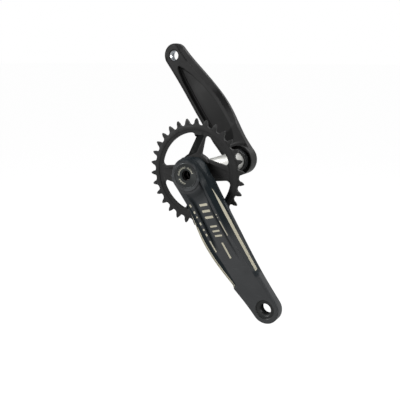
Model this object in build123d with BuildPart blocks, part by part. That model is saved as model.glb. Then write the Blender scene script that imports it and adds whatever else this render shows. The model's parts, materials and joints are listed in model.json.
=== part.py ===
"""Single-ring mountain bicycle crankset: two arms, hollow spindle, direct-mount chainring.

Frame: the origin lies on the spindle axis in the bicycle's centre plane, +Y points to the left
(non-drive) side, +X forward and +Z up. The drive arm hangs forward and down, the left arm is opposite.
Every arm is drawn in its own coordinates: x along the arm, s across it, h outward from the centre plane.
"""
from build123d import *
import math
import os

os.makedirs("parts", exist_ok=True)

# ---------------------------------------------------------------- driving dimensions, millimetres
CRANK_LENGTH = 175.0          # spindle axis to pedal axis
ARM_DROP = 50.9               # degrees below horizontal of the drive arm at rest
PEDAL_FACE = 85.3             # centre plane to the outer face of each pedal eye
CHAIN_LINE = 48.0             # centre plane to the middle of the teeth

FIT = 0.03                    # radial clearance of pressed, splined and threaded fits
RUN = 0.05                    # radial clearance of fits that turn or slide
SEAT = 0.02                   # gap left between faces that bear on each other

# Arm body
EYE_R = 16.3                  # pedal eye
EYE_THICK = 12.0
ARM_ROOT_THICK = 15.6         # thickness where the arm leaves the boss
ARM_STEP = 1.8                # the arm's inner face starts this far outboard of the boss's floor
ARM_RISE_DRIVE = 24.0         # how far the outer face climbs from boss to eye
ARM_RISE_LEFT = 12.6
RISE_END = 0.86               # share of the length where the climb ends
LEAD_BULGE = 8.6              # extra half width of the leading edge, over the straight taper
LEAD_BULGE_AT = 0.45          # share of the length where the leading edge is widest
TRAIL_BULGE = 2.6
OUTER_BEVEL = 6.0             # bevel of the outer long edges, across and in depth
OUTER_BEVEL_DEPTH = 4.2
INNER_BEVEL = 3.4             # bevel of the inner long edges
INNER_BEVEL_DEPTH = 4.6
EYE_BEVEL = 1.6
EYE_PROUD = 0.4               # the eye stands out of the arm's long edges by this
ARM_SECTIONS = 8

# Pedal thread, 9/16 inch
PEDAL_THREAD_R = 7.14
PEDAL_RECESS_R = 10.8
PEDAL_RECESS_DEPTH = 1.2

# Spindle
SPINDLE_R = 12.0
SPINDLE_BORE_R = 8.9
SPINDLE_WALL_R = 9.6          # relieved bore between the threaded ends
SPLINE_ROOT_R = 11.15
SPLINE_TIP_R = 11.8
SPLINE_TEETH = 16
SPLINE_TOOTH_W = 2.2
SPINDLE_CHAMFER = 0.6
JOURNAL_STEP = 0.06           # the pilots beside the bearing journal are smaller by this
THREAD_LENGTH = 17.0          # bolt thread inside the drive end

# Drive boss
BOSS_R = 21.0
BOSS_FACE_R = 18.7            # outer face, inside the cone
BOSS_FACE = 71.3              # centre plane to the boss's outer face
BOSS_CONE = 6.5               # height of the cone below the outer face
HUB_SHOULDER = 52.0           # centre plane to the shoulder that carries the chainring
RING_SPLINE_ROOT_R = 16.7
RING_SPLINE_TIP_R = 17.6
RING_SPLINE_TEETH = 12
RING_SPLINE_TOOTH_W = 4.0
RING_HUB_THICK = 7.0
LOCK_THREAD_R = 16.0
LOCK_THREAD_LENGTH = 3.6

# Crank bolt with its extractor
CAP_R = 14.9
CAP_THICK = 3.2
CAP_HOLE_R = 5.95
CAP_CHAMFER = 0.4
BOLT_HEAD_R = 12.8
BOLT_HEAD_THICK = 4.2
BOLT_FREE_TRAVEL = 0.35       # free outward travel before the head pushes the cap
BOLT_HOLLOW_R = 4.2
HEX_KEY = 10.0
HEX_DEPTH = 7.5
GLIDE_THICK = 0.6
GLIDE_WIDTH = 4.0
WASHER_THICK = 0.8
WEB_THICK = 2.4               # wall that the bolt clamps against the spindle

# Chainring
TEETH = 30
CHAIN_PITCH = 12.7
ROLLER_R = 4.0
TOOTH_TIP_ADD = 3.5           # tooth tip above the pitch circle
TOOTH_TIP_HALF = 0.7
TOOTH_PHASE = 8.0             # degrees, first tooth measured from the drive arm
NARROW_TOOTH = 2.1
WIDE_TOOTH = 3.6
RING_PLATE = 4.2
RIM_WIDTH = 9.0               # rim inside the tooth roots
RIM_CHAMFER = 0.8
RING_HUB_R = 24.0
MAIN_SPOKE = (69.0, 54.0, 27.0, 13.5)     # angles at hub and rim, widths at hub and rim
SIDE_SPOKE = (156.0, 130.0, 19.0, 9.0)
SPOKE_FOOT = 9.5              # how far a spoke's foot lies inside the hub
WINDOW_OUTER_FILLET = 4.5
WINDOW_INNER_FILLET = 2.5
SPOKE_OVERLAP = 4.0           # how far a spoke's head lies inside the rim

# Chainring lockring
LOCK_R = 20.6
LOCK_THICK = 3.0
LOCK_NOTCHES = 12
LOCK_NOTCH_W = 3.0
LOCK_NOTCH_DEPTH = 1.5
LOCK_WASHER_THICK = 0.6

# Left boss and bearing preload adjuster
LEFT_BOSS_FACE = 57.5         # centre plane to the boss's inboard rim
LEFT_BOSS_R = 20.4
LEFT_RIM_WALL = 1.7
LEFT_RECESS_DEPTH = 5.6
LEFT_OUTER_FACE = 76.0
ADJUSTER_R = 15.0
ADJUSTER_PROUD = 4.6          # length that stands out of the boss's rim
ADJUSTER_SLIT = 1.2
ADJUSTER_EAR_R = 19.2
ADJUSTER_EAR_HALF = 5.6
ADJUSTER_EAR_THICK = 4.5
ADJUSTER_EAR_ANGLE = -24.0    # degrees around the spindle from the left arm
GRIP_FLUTES = 14
GRIP_FLUTE_R = 0.7
GRIP_FREE_ANGLE = 36.0        # degrees kept plain at each side of the ear
THRUST_THICK = 1.3
THRUST_R = 14.6
THRUST_CHAMFER = 0.4
PINCH_R = 1.25
PINCH_HEAD_R = 2.05
PINCH_HEAD_LENGTH = 2.0
PINCH_HEX = 2.0
PINCH_CHAMFER = 0.3
PINCH_WALL = 2.6              # from the screw's axis to the ear's end

# Plug of the left end and seals
PLUG_R = 13.8
PLUG_POCKET = 5.2             # depth of the pocket for the retaining ring and the plug
RETAINER_THICK = 1.2
RETAINER_LIP = 1.0            # spindle left outside the retaining ring's groove
RETAINER_R = 13.4
RETAINER_GROOVE_R = 10.6
RETAINER_GAP = 5.0            # opening between the ring's ends
PLUG_THICK = 2.0
PLUG_STEM = 4.5               # length of the stem inside the spindle
PLUG_CHAMFER = 0.5
SEAL_THICK = 1.8
SEAL_WIDTH = 1.9
PLUG_RING_WIDTH = 1.6
PLUG_RING_THICK = 1.4

# Decorative and weight-saving cuts
GROOVE_HALF = 1.3             # half width of the two long grooves of the drive arm
GROOVE_DEPTH = 1.5
GROOVE_START = 0.17           # shares of the length
GROOVE_END = 0.62
PANEL_HALF = 8.6              # half width of the panel between the grooves
POCKET_START = 0.16           # pocket in the inner face of each arm, as shares of the length
POCKET_END = 0.90
POCKET_DEPTH = 6.0
POCKET_TIP_DEPTH = 1.0        # depth at the pocket's two pointed ends
POCKET_WALL = 2.6             # web beside the pocket
POCKET_DRAFT = 2.4            # floor narrower than the mouth, each side
CUT_SECTIONS = 6

# ---------------------------------------------------------------- directions and planes
DROP = math.radians(ARM_DROP)
ARM_DIR = Vector(math.cos(DROP), 0, -math.sin(DROP))
ACROSS = Vector(math.sin(DROP), 0, math.cos(DROP))
DRIVE, LEFT = 1, -1           # sign of an arm's direction along ARM_DIR


def face_plane(side, height):
    """Plane parallel to the chainring, x along the arm of that side, facing outward."""
    return Plane(origin=(0, -side * height, 0), x_dir=ARM_DIR * side, z_dir=(0, -side, 0))


def section_plane(side, along):
    """Plane across the arm of that side: x across the arm, y outward."""
    return Plane(origin=ARM_DIR * (side * along), x_dir=ACROSS, z_dir=ARM_DIR * side)


# ---------------------------------------------------------------- derived sizes
PITCH_R = CHAIN_PITCH / 2 / math.sin(math.pi / TEETH)
ROOT_R = PITCH_R - ROLLER_R
TIP_R = PITCH_R + TOOTH_TIP_ADD
RIM_INNER_R = ROOT_R - RIM_WIDTH
TOOTH_STEP = 360 / TEETH

CAP_BACK = BOSS_FACE - CAP_THICK
GLIDE_FACE = CAP_BACK - BOLT_FREE_TRAVEL - SEAT
HEAD_FACE = GLIDE_FACE - GLIDE_THICK
HEAD_BACK = HEAD_FACE - BOLT_HEAD_THICK
WEB_FACE = HEAD_BACK - WASHER_THICK
SPINDLE_DRIVE_END = WEB_FACE - WEB_THICK - SEAT
RING_HUB_BACK = HUB_SHOULDER - RING_HUB_THICK
HUB_NOSE = RING_HUB_BACK - LOCK_THREAD_LENGTH
BOLT_SHANK_R = SPINDLE_BORE_R - RUN
SEAL_FLOOR = HUB_NOSE + SEAL_THICK + SEAT
SPLINE_START = SEAL_FLOOR + 2 * SPINDLE_CHAMFER

LEFT_RECESS_FLOOR = LEFT_BOSS_FACE + LEFT_RECESS_DEPTH
LEFT_PILOT_END = LEFT_RECESS_FLOOR + 2 * SPINDLE_CHAMFER
ADJUSTER_BACK = LEFT_RECESS_FLOOR - SEAT
ADJUSTER_FACE = LEFT_BOSS_FACE - ADJUSTER_PROUD
THRUST_BACK = ADJUSTER_FACE - SEAT
JOURNAL_DRIVE_END = HUB_NOSE - SEAT
JOURNAL_LEFT_END = THRUST_BACK - THRUST_THICK - SEAT
RETAINER_FLOOR = LEFT_OUTER_FACE - PLUG_POCKET
RETAINER_FACE = RETAINER_FLOOR + SEAT + RETAINER_THICK
SPINDLE_LEFT_END = RETAINER_FACE + RETAINER_LIP
PLUG_BACK = LEFT_OUTER_FACE - PLUG_THICK
PLUG_STEM_R = SPINDLE_BORE_R - PLUG_RING_WIDTH / 2
PLUG_RING_FACE = SPINDLE_LEFT_END - PLUG_STEM / 3
PINCH_HEAD_SEAT = ADJUSTER_EAR_HALF - PINCH_HEAD_LENGTH
PINCH_AXIS_R = ADJUSTER_EAR_R - PINCH_WALL    # distance of the screw's axis from the spindle axis
EAR_TURN = math.radians(ADJUSTER_EAR_ANGLE)
EAR_PLANE = Plane(origin=(0, ADJUSTER_FACE, 0), z_dir=(0, 1, 0),
                  x_dir=ACROSS * math.sin(EAR_TURN) - ARM_DIR * math.cos(EAR_TURN))


# ---------------------------------------------------------------- shared profiles
def climb(share):
    """How much of the outward climb is still to come at a share of the length; level inside the boss."""
    return max(0.0, 1 - max(share, BOSS_R / CRANK_LENGTH) / RISE_END) ** 2


def outer_height(side, share):
    rise = ARM_RISE_DRIVE if side == DRIVE else ARM_RISE_LEFT
    return PEDAL_FACE - rise * climb(share)


def inner_height(side, share):
    height = outer_height(side, share) - EYE_THICK - (ARM_ROOT_THICK - EYE_THICK) * climb(share)
    boss = HUB_SHOULDER if side == DRIVE else LEFT_RECESS_FLOOR
    return max(height, boss + ARM_STEP)


def bulge(share):
    """Smooth hump that is 1 at LEAD_BULGE_AT and 0 at both ends of the arm."""
    reach = LEAD_BULGE_AT if share < LEAD_BULGE_AT else 1 - LEAD_BULGE_AT
    return math.cos(math.pi / 2 * min(1.0, abs(share - LEAD_BULGE_AT) / reach)) ** 2


def half_widths(side, share):
    """Leading and trailing half widths of the arm at a share of its length."""
    root_r = (BOSS_R if side == DRIVE else LEFT_BOSS_R) - SEAT
    taper = root_r + (EYE_R - EYE_PROUD - root_r) * share
    return taper + LEAD_BULGE * bulge(share), taper + TRAIL_BULGE * bulge(share)


def arm_section(side, share):
    """Eight-cornered section: flat outer and inner faces with long bevels between them."""
    lead, trail = half_widths(side, share)
    top, bottom = outer_height(side, share), inner_height(side, share)
    fade = min(1.0, (1 - share) * 2.2)
    outer_cut = EYE_BEVEL + (OUTER_BEVEL - EYE_BEVEL) * fade
    outer_deep = EYE_BEVEL + (OUTER_BEVEL_DEPTH - EYE_BEVEL) * fade
    inner_cut = EYE_BEVEL + (INNER_BEVEL - EYE_BEVEL) * fade
    inner_deep = EYE_BEVEL + (INNER_BEVEL_DEPTH - EYE_BEVEL) * fade
    leading = [(lead - inner_cut, bottom), (lead, bottom + inner_deep),
               (lead, top - outer_deep), (lead - outer_cut, top)]
    trailing = [(-trail + outer_cut, top), (-trail, top - outer_deep),
                (-trail, bottom + inner_deep), (-trail + inner_cut, bottom)]
    return [(-side * across, height) for across, height in leading + trailing]


def spline_profile(root_r, tip_r, count, width, grow=0.0):
    """Round shaft with straight teeth; grow widens it into the matching hole."""
    Circle(root_r + grow)
    with PolarLocations(0, count):
        with Locations((tip_r / 2 + grow / 2, 0)):
            Rectangle(tip_r + grow, width + 2 * grow)


def groove_section(edge, share):
    """Notch across the drive arm, its point below the outer face."""
    across = edge * PANEL_HALF
    top = outer_height(DRIVE, share)
    mouth = GROOVE_HALF * 1.5
    return [(across - mouth, top + GROOVE_DEPTH / 2), (across, top - GROOVE_DEPTH),
            (across + mouth, top + GROOVE_DEPTH / 2)]


def pocket_section(side, share):
    """Trapezoid across the arm, open at the inner face and narrower at its floor."""
    lead, trail = half_widths(side, share)
    middle = (POCKET_START + POCKET_END) / 2
    reach = (POCKET_END - POCKET_START) / 2
    leaf = max(0.0, 1 - abs((share - middle) / reach) ** 3) ** 0.5
    lead_edge = max(POCKET_DRAFT + 1, (lead - INNER_BEVEL - POCKET_WALL) * leaf)
    trail_edge = max(POCKET_DRAFT + 1, (trail - INNER_BEVEL - POCKET_WALL) * leaf)
    mouth = inner_height(side, share)
    floor = mouth + POCKET_TIP_DEPTH + (POCKET_DEPTH - POCKET_TIP_DEPTH) * leaf
    outside = mouth - POCKET_TIP_DEPTH
    corners = [(lead_edge, outside), (lead_edge, mouth), (lead_edge - POCKET_DRAFT, floor),
               (POCKET_DRAFT - trail_edge, floor), (-trail_edge, mouth), (-trail_edge, outside)]
    return [(-side * across, height) for across, height in corners]


def spoke_corners(spoke, turn):
    """Tapering bar from inside the hub to inside the rim, turned about the spindle."""
    hub_angle, rim_angle, hub_width, rim_width = spoke
    inner = Vector(RING_HUB_R - SPOKE_FOOT, 0).rotate(Axis.Z, hub_angle + turn)
    outer = Vector(RIM_INNER_R + SPOKE_OVERLAP, 0).rotate(Axis.Z, rim_angle + turn)
    aside = (outer - inner).normalized().rotate(Axis.Z, 90)
    return [inner + aside * hub_width / 2, outer + aside * rim_width / 2,
            outer - aside * rim_width / 2, inner - aside * hub_width / 2]


def tooth_corners():
    """One tooth pointing along +X, its foot inside the rim; the roller seats are cut later."""
    foot = CHAIN_PITCH / 2 - SEAT
    neck = CHAIN_PITCH / 2 - ROLLER_R
    buried = ROOT_R - 2 * RIM_CHAMFER
    upper = [(TIP_R, TOOTH_TIP_HALF), (PITCH_R, neck), (ROOT_R, foot), (buried, foot)]
    return [(radius, -half) for radius, half in reversed(upper)] + upper


def toothed_disc(count):
    """Disc with evenly spaced teeth and round roller seats at both sides of every tooth place."""
    Circle(ROOT_R)
    with PolarLocations(0, count, start_angle=TOOTH_PHASE):
        Polygon(*tooth_corners(), align=None)
    with PolarLocations(PITCH_R, TEETH, start_angle=TOOTH_PHASE + TOOTH_STEP / 2):
        Circle(ROLLER_R, mode=Mode.SUBTRACT)


def arm_body(side):
    """Loft of the arm's sections with the round pedal eye at its end."""
    with BuildPart() as body:
        for step in range(ARM_SECTIONS + 1):
            share = step / ARM_SECTIONS
            with BuildSketch(section_plane(side, CRANK_LENGTH * share)):
                Polygon(*arm_section(side, share), align=None)
        loft()
    with BuildPart() as eye:
        with BuildSketch(face_plane(side, PEDAL_FACE - EYE_THICK)):
            with Locations((CRANK_LENGTH, 0)):
                Circle(EYE_R)
        extrude(amount=EYE_THICK)
        chamfer(eye.edges(), EYE_BEVEL)
    return body.part + eye.part


def arm_pocket(side):
    """Leaf-shaped cutter for the pocket in an arm's inner face."""
    with BuildPart() as pocket:
        for step in range(CUT_SECTIONS + 1):
            share = POCKET_START + (POCKET_END - POCKET_START) * step / CUT_SECTIONS
            with BuildSketch(section_plane(side, CRANK_LENGTH * share)):
                Polygon(*pocket_section(side, share), align=None)
        loft()
    return pocket.part


# ---------------------------------------------------------------- drive arm
drive_blank = arm_body(DRIVE)
with BuildPart() as drive_arm:
    add(drive_blank)
    # boss: a cylinder with a cone up to its outer face
    with BuildSketch(face_plane(DRIVE, HUB_SHOULDER)):
        Circle(BOSS_R)
    extrude(amount=BOSS_FACE - BOSS_CONE - HUB_SHOULDER)
    with BuildSketch(face_plane(DRIVE, BOSS_FACE - BOSS_CONE)):
        Circle(BOSS_R)
    with BuildSketch(face_plane(DRIVE, BOSS_FACE)):
        Circle(BOSS_FACE_R)
    loft()
    # splined nose that carries the chainring, then the lockring thread
    with BuildSketch(face_plane(DRIVE, RING_HUB_BACK)):
        spline_profile(RING_SPLINE_ROOT_R, RING_SPLINE_TIP_R, RING_SPLINE_TEETH, RING_SPLINE_TOOTH_W)
    extrude(amount=RING_HUB_THICK)
    with BuildSketch(face_plane(DRIVE, HUB_NOSE)):
        Circle(LOCK_THREAD_R)
    extrude(amount=LOCK_THREAD_LENGTH)
    # counterbore of the seal, splined seat of the spindle, clearance of the bolt, counterbore of its
    # head, thread of the cap
    with BuildSketch(face_plane(DRIVE, HUB_NOSE)):
        Circle(SPINDLE_R + SEAL_WIDTH + FIT)
    extrude(amount=SEAL_THICK + SEAT, mode=Mode.SUBTRACT)
    with BuildSketch(face_plane(DRIVE, HUB_NOSE)):
        Circle(SPINDLE_R - JOURNAL_STEP + FIT)
    extrude(amount=SPLINE_START - HUB_NOSE, mode=Mode.SUBTRACT)
    with BuildSketch(face_plane(DRIVE, SPLINE_START)):
        spline_profile(SPLINE_ROOT_R, SPLINE_TIP_R, SPLINE_TEETH, SPLINE_TOOTH_W, FIT)
    extrude(amount=WEB_FACE - WEB_THICK - SPLINE_START, mode=Mode.SUBTRACT)
    with BuildSketch(face_plane(DRIVE, WEB_FACE - WEB_THICK)):
        Circle(SPINDLE_BORE_R + RUN)
    extrude(amount=WEB_THICK, mode=Mode.SUBTRACT)
    with BuildSketch(face_plane(DRIVE, WEB_FACE)):
        Circle(BOLT_HEAD_R + 3 * RUN)
    extrude(amount=CAP_BACK - WEB_FACE, mode=Mode.SUBTRACT)
    with BuildSketch(face_plane(DRIVE, CAP_BACK)):
        Circle(CAP_R + FIT)
    extrude(amount=PEDAL_FACE, mode=Mode.SUBTRACT)
    # pedal thread with the washer recess
    with BuildSketch(face_plane(DRIVE, 0)):
        with Locations((CRANK_LENGTH, 0)):
            Circle(PEDAL_THREAD_R)
    extrude(amount=2 * PEDAL_FACE, mode=Mode.SUBTRACT)
    with BuildSketch(face_plane(DRIVE, PEDAL_FACE - PEDAL_RECESS_DEPTH)):
        with Locations((CRANK_LENGTH, 0)):
            Circle(PEDAL_RECESS_R)
    extrude(amount=PEDAL_FACE, mode=Mode.SUBTRACT)
    add(arm_pocket(DRIVE), mode=Mode.SUBTRACT)
    # two long grooves beside the centre panel
    for edge in (-1, 1):
        for step in range(CUT_SECTIONS + 1):
            share = GROOVE_START + (GROOVE_END - GROOVE_START) * step / CUT_SECTIONS
            with BuildSketch(section_plane(DRIVE, CRANK_LENGTH * share)):
                Polygon(*groove_section(edge, share), align=None)
        loft(mode=Mode.SUBTRACT)
drive_arm.part.label = "drive_arm"
export_step(drive_arm.part, "parts/drive_arm.step")

# ---------------------------------------------------------------- left arm
left_blank = arm_body(LEFT)
with BuildPart() as left_arm:
    add(left_blank)
    with BuildSketch(face_plane(LEFT, LEFT_BOSS_FACE)):
        Circle(LEFT_BOSS_R)
    extrude(amount=LEFT_OUTER_FACE - LEFT_BOSS_FACE)
    add(arm_pocket(LEFT), mode=Mode.SUBTRACT)
    # annular recess that houses the thread end of the preload adjuster
    with BuildSketch(face_plane(LEFT, 0)):
        Circle(LEFT_BOSS_R - LEFT_RIM_WALL)
    extrude(amount=LEFT_RECESS_FLOOR, mode=Mode.SUBTRACT)
    # splined seat of the spindle and pocket of the end plug
    with BuildSketch(face_plane(LEFT, LEFT_RECESS_FLOOR)):
        Circle(SPINDLE_R - JOURNAL_STEP + FIT)
    extrude(amount=LEFT_PILOT_END - LEFT_RECESS_FLOOR, mode=Mode.SUBTRACT)
    with BuildSketch(face_plane(LEFT, LEFT_PILOT_END)):
        spline_profile(SPLINE_ROOT_R, SPLINE_TIP_R, SPLINE_TEETH, SPLINE_TOOTH_W, FIT)
    extrude(amount=PEDAL_FACE, mode=Mode.SUBTRACT)
    with BuildSketch(face_plane(LEFT, RETAINER_FLOOR)):
        Circle(PLUG_R + FIT)
    extrude(amount=PEDAL_FACE, mode=Mode.SUBTRACT)
    with BuildSketch(face_plane(LEFT, 0)):
        with Locations((CRANK_LENGTH, 0)):
            Circle(PEDAL_THREAD_R)
    extrude(amount=2 * PEDAL_FACE, mode=Mode.SUBTRACT)
left_arm.part.label = "left_arm"
export_step(left_arm.part, "parts/left_arm.step")

# ---------------------------------------------------------------- spindle
with BuildPart() as spindle:
    with BuildSketch(face_plane(DRIVE, SPLINE_START)):
        Circle(SPINDLE_R - JOURNAL_STEP)
    extrude(amount=-SPLINE_START - LEFT_PILOT_END + SEAT)
    chamfer(spindle.edges().filter_by(GeomType.CIRCLE), SPINDLE_CHAMFER)
    # ground journal of the bearings, a hair larger than the pilots at its ends
    with BuildSketch(face_plane(DRIVE, JOURNAL_DRIVE_END)):
        Circle(SPINDLE_R)
    extrude(amount=-JOURNAL_DRIVE_END - JOURNAL_LEFT_END)
    with BuildSketch(face_plane(DRIVE, 0)):
        spline_profile(SPLINE_ROOT_R, SPLINE_TIP_R, SPLINE_TEETH, SPLINE_TOOTH_W)
    extrude(amount=SPINDLE_DRIVE_END)
    with BuildSketch(face_plane(LEFT, 0)):
        spline_profile(SPLINE_ROOT_R, SPLINE_TIP_R, SPLINE_TEETH, SPLINE_TOOTH_W)
    extrude(amount=SPINDLE_LEFT_END)
    with BuildSketch(face_plane(DRIVE, SPINDLE_DRIVE_END)):
        Circle(SPINDLE_BORE_R)
    extrude(amount=-SPINDLE_DRIVE_END - SPINDLE_LEFT_END, mode=Mode.SUBTRACT)
    with BuildSketch(face_plane(DRIVE, SPINDLE_DRIVE_END - THREAD_LENGTH)):
        Circle(SPINDLE_WALL_R)
    extrude(amount=-SPINDLE_DRIVE_END - SPINDLE_LEFT_END + 2 * THREAD_LENGTH, mode=Mode.SUBTRACT)
    # groove of the retaining ring at the left end
    with BuildSketch(face_plane(LEFT, RETAINER_FLOOR)):
        Circle(SPINDLE_R)
        Circle(RETAINER_GROOVE_R, mode=Mode.SUBTRACT)
    extrude(amount=RETAINER_THICK + 2 * SEAT, mode=Mode.SUBTRACT)
spindle.part.label = "spindle"
export_step(spindle.part, "parts/spindle.step")

# ---------------------------------------------------------------- chainring
with BuildSketch() as windows:
    Circle(RIM_INNER_R)
    Circle(RING_HUB_R, mode=Mode.SUBTRACT)
    for spoke in (MAIN_SPOKE, SIDE_SPOKE):
        for turn in (0, 180):
            Polygon(*spoke_corners(spoke, turn), align=None, mode=Mode.SUBTRACT)
    fillet(windows.vertices().filter_by(lambda corner: math.hypot(corner.X, corner.Y) > RIM_INNER_R - SEAT),
           WINDOW_OUTER_FILLET)
    fillet(windows.vertices().filter_by(lambda corner: math.hypot(corner.X, corner.Y) < RING_HUB_R + SEAT),
           WINDOW_INNER_FILLET)
with BuildPart() as chainring:
    with BuildSketch(face_plane(DRIVE, CHAIN_LINE - NARROW_TOOTH / 2)):
        toothed_disc(TEETH)
    extrude(amount=NARROW_TOOTH)
    with BuildSketch(face_plane(DRIVE, CHAIN_LINE - WIDE_TOOTH / 2)):
        toothed_disc(TEETH // 2)
    extrude(amount=WIDE_TOOTH)
    with BuildSketch(face_plane(DRIVE, CHAIN_LINE - RING_PLATE / 2)):
        Circle(ROOT_R - RIM_CHAMFER)
    extrude(amount=RING_PLATE)
    with BuildSketch(face_plane(DRIVE, RING_HUB_BACK)):
        Circle(RING_HUB_R)
    extrude(amount=RING_HUB_THICK - SEAT)
    with BuildSketch(face_plane(DRIVE, 0)):
        add(windows.sketch)
        spline_profile(RING_SPLINE_ROOT_R, RING_SPLINE_TIP_R, RING_SPLINE_TEETH, RING_SPLINE_TOOTH_W, FIT)
    extrude(amount=PEDAL_FACE, mode=Mode.SUBTRACT)
chainring.part.label = "chainring"
export_step(chainring.part, "parts/chainring.step")

# ---------------------------------------------------------------- chainring lockring and its washer
with BuildPart() as lockring_washer:
    with BuildSketch(face_plane(DRIVE, RING_HUB_BACK - SEAT)):
        Circle(LOCK_R)
        Circle(RING_SPLINE_TIP_R + FIT, mode=Mode.SUBTRACT)
    extrude(amount=-LOCK_WASHER_THICK)
lockring_washer.part.label = "lockring_washer"
export_step(lockring_washer.part, "parts/lockring_washer.step")

with BuildPart() as chainring_lockring:
    with BuildSketch(face_plane(DRIVE, RING_HUB_BACK - LOCK_WASHER_THICK - 2 * SEAT)):
        Circle(LOCK_R)
        Circle(LOCK_THREAD_R + FIT, mode=Mode.SUBTRACT)
        with PolarLocations(LOCK_R, LOCK_NOTCHES):
            Rectangle(2 * LOCK_NOTCH_DEPTH, LOCK_NOTCH_W, mode=Mode.SUBTRACT)
    extrude(amount=-LOCK_THICK)
chainring_lockring.part.label = "chainring_lockring"
export_step(chainring_lockring.part, "parts/chainring_lockring.step")

# ---------------------------------------------------------------- crank bolt, its washer and its extractor
with BuildPart() as crank_bolt:
    with BuildSketch(face_plane(DRIVE, HEAD_BACK)):
        Circle(BOLT_HEAD_R)
    extrude(amount=BOLT_HEAD_THICK)
    chamfer(crank_bolt.edges().filter_by(GeomType.CIRCLE), CAP_CHAMFER)
    with BuildSketch(face_plane(DRIVE, HEAD_BACK)):
        Circle(BOLT_SHANK_R)
    extrude(amount=SPINDLE_DRIVE_END - THREAD_LENGTH - HEAD_BACK)
    with BuildSketch(face_plane(DRIVE, HEAD_FACE)):
        RegularPolygon(HEX_KEY / 2, 6, major_radius=False)
    extrude(amount=-HEX_DEPTH, mode=Mode.SUBTRACT)
    with BuildSketch(face_plane(DRIVE, HEAD_FACE)):
        Circle(BOLT_HOLLOW_R)
    extrude(amount=-PEDAL_FACE, mode=Mode.SUBTRACT)
crank_bolt.part.label = "crank_bolt"
export_step(crank_bolt.part, "parts/crank_bolt.step")

with BuildPart() as bolt_washer:
    with BuildSketch(face_plane(DRIVE, WEB_FACE + SEAT)):
        Circle(BOLT_HEAD_R)
        Circle(SPINDLE_BORE_R + RUN, mode=Mode.SUBTRACT)
    extrude(amount=WASHER_THICK - 2 * SEAT)
bolt_washer.part.label = "bolt_washer"
export_step(bolt_washer.part, "parts/bolt_washer.step")

with BuildPart() as extractor_glide_ring:
    with BuildSketch(face_plane(DRIVE, HEAD_FACE + SEAT)):
        Circle(BOLT_HEAD_R)
        Circle(BOLT_HEAD_R - GLIDE_WIDTH, mode=Mode.SUBTRACT)
    extrude(amount=GLIDE_THICK - SEAT)
extractor_glide_ring.part.label = "extractor_glide_ring"
export_step(extractor_glide_ring.part, "parts/extractor_glide_ring.step")

with BuildPart() as extractor_cap:
    with BuildSketch(face_plane(DRIVE, CAP_BACK + SEAT)):
        Circle(CAP_R)
        Circle(CAP_HOLE_R, mode=Mode.SUBTRACT)
    extrude(amount=CAP_THICK - SEAT)
    outer_rims = extractor_cap.faces().sort_by(Axis.Y)[0].edges()
    chamfer(outer_rims, CAP_CHAMFER)
extractor_cap.part.label = "extractor_cap"
export_step(extractor_cap.part, "parts/extractor_cap.step")

# ---------------------------------------------------------------- seal of the drive side
with BuildPart() as drive_seal_ring:
    with BuildSketch(face_plane(DRIVE, HUB_NOSE)):
        Circle(SPINDLE_R + SEAL_WIDTH)
        Circle(SPINDLE_R - JOURNAL_STEP + FIT, mode=Mode.SUBTRACT)
    extrude(amount=SEAL_THICK)
    fillet(drive_seal_ring.edges().filter_by(GeomType.CIRCLE), SEAL_THICK / 3)
drive_seal_ring.part.label = "drive_seal_ring"
export_step(drive_seal_ring.part, "parts/drive_seal_ring.step")

# ---------------------------------------------------------------- bearing preload parts of the left side
with BuildPart() as thrust_washer:
    with BuildSketch(face_plane(LEFT, THRUST_BACK)):
        Circle(THRUST_R)
        Circle(SPINDLE_R + RUN, mode=Mode.SUBTRACT)
    extrude(amount=-THRUST_THICK)
    chamfer(thrust_washer.faces().sort_by(Axis.Y)[0].edges().sort_by(SortBy.RADIUS)[-1], THRUST_CHAMFER)
thrust_washer.part.label = "thrust_washer"
export_step(thrust_washer.part, "parts/thrust_washer.step")

PINCH_PLANE = Plane(origin=EAR_PLANE.from_local_coords(Vector(PINCH_AXIS_R, 0, ADJUSTER_EAR_THICK / 2)),
                    x_dir=EAR_PLANE.x_dir, z_dir=EAR_PLANE.y_dir)
with BuildPart() as preload_adjuster:
    with BuildSketch(EAR_PLANE):
        Circle(ADJUSTER_R)
    extrude(amount=ADJUSTER_BACK - ADJUSTER_FACE)
    # grip flutes on the part that stands out of the boss, clear of the ear
    with BuildSketch(EAR_PLANE):
        with PolarLocations(ADJUSTER_R, GRIP_FLUTES, start_angle=GRIP_FREE_ANGLE,
                            angular_range=360 - 2 * GRIP_FREE_ANGLE, endpoint=True):
            Circle(GRIP_FLUTE_R)
    extrude(amount=ADJUSTER_PROUD, mode=Mode.SUBTRACT)
    # ear for the pinch screw
    with BuildSketch(EAR_PLANE):
        Polygon((0, -ADJUSTER_EAR_HALF), (ADJUSTER_EAR_R, -ADJUSTER_EAR_HALF),
                (ADJUSTER_EAR_R, PINCH_HEAD_SEAT), (0, PINCH_HEAD_SEAT), align=None)
    extrude(amount=ADJUSTER_EAR_THICK)
    with BuildSketch(EAR_PLANE):
        Circle(SPINDLE_R + RUN)
        with Locations((ADJUSTER_EAR_R / 2, 0)):
            Rectangle(ADJUSTER_EAR_R + 1, ADJUSTER_SLIT)
    extrude(amount=ADJUSTER_BACK - ADJUSTER_FACE, mode=Mode.SUBTRACT)
    with BuildSketch(PINCH_PLANE):
        Circle(PINCH_R + RUN)
    extrude(amount=2 * ADJUSTER_EAR_HALF, both=True, mode=Mode.SUBTRACT)
preload_adjuster.part.label = "preload_adjuster"
export_step(preload_adjuster.part, "parts/preload_adjuster.step")

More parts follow.
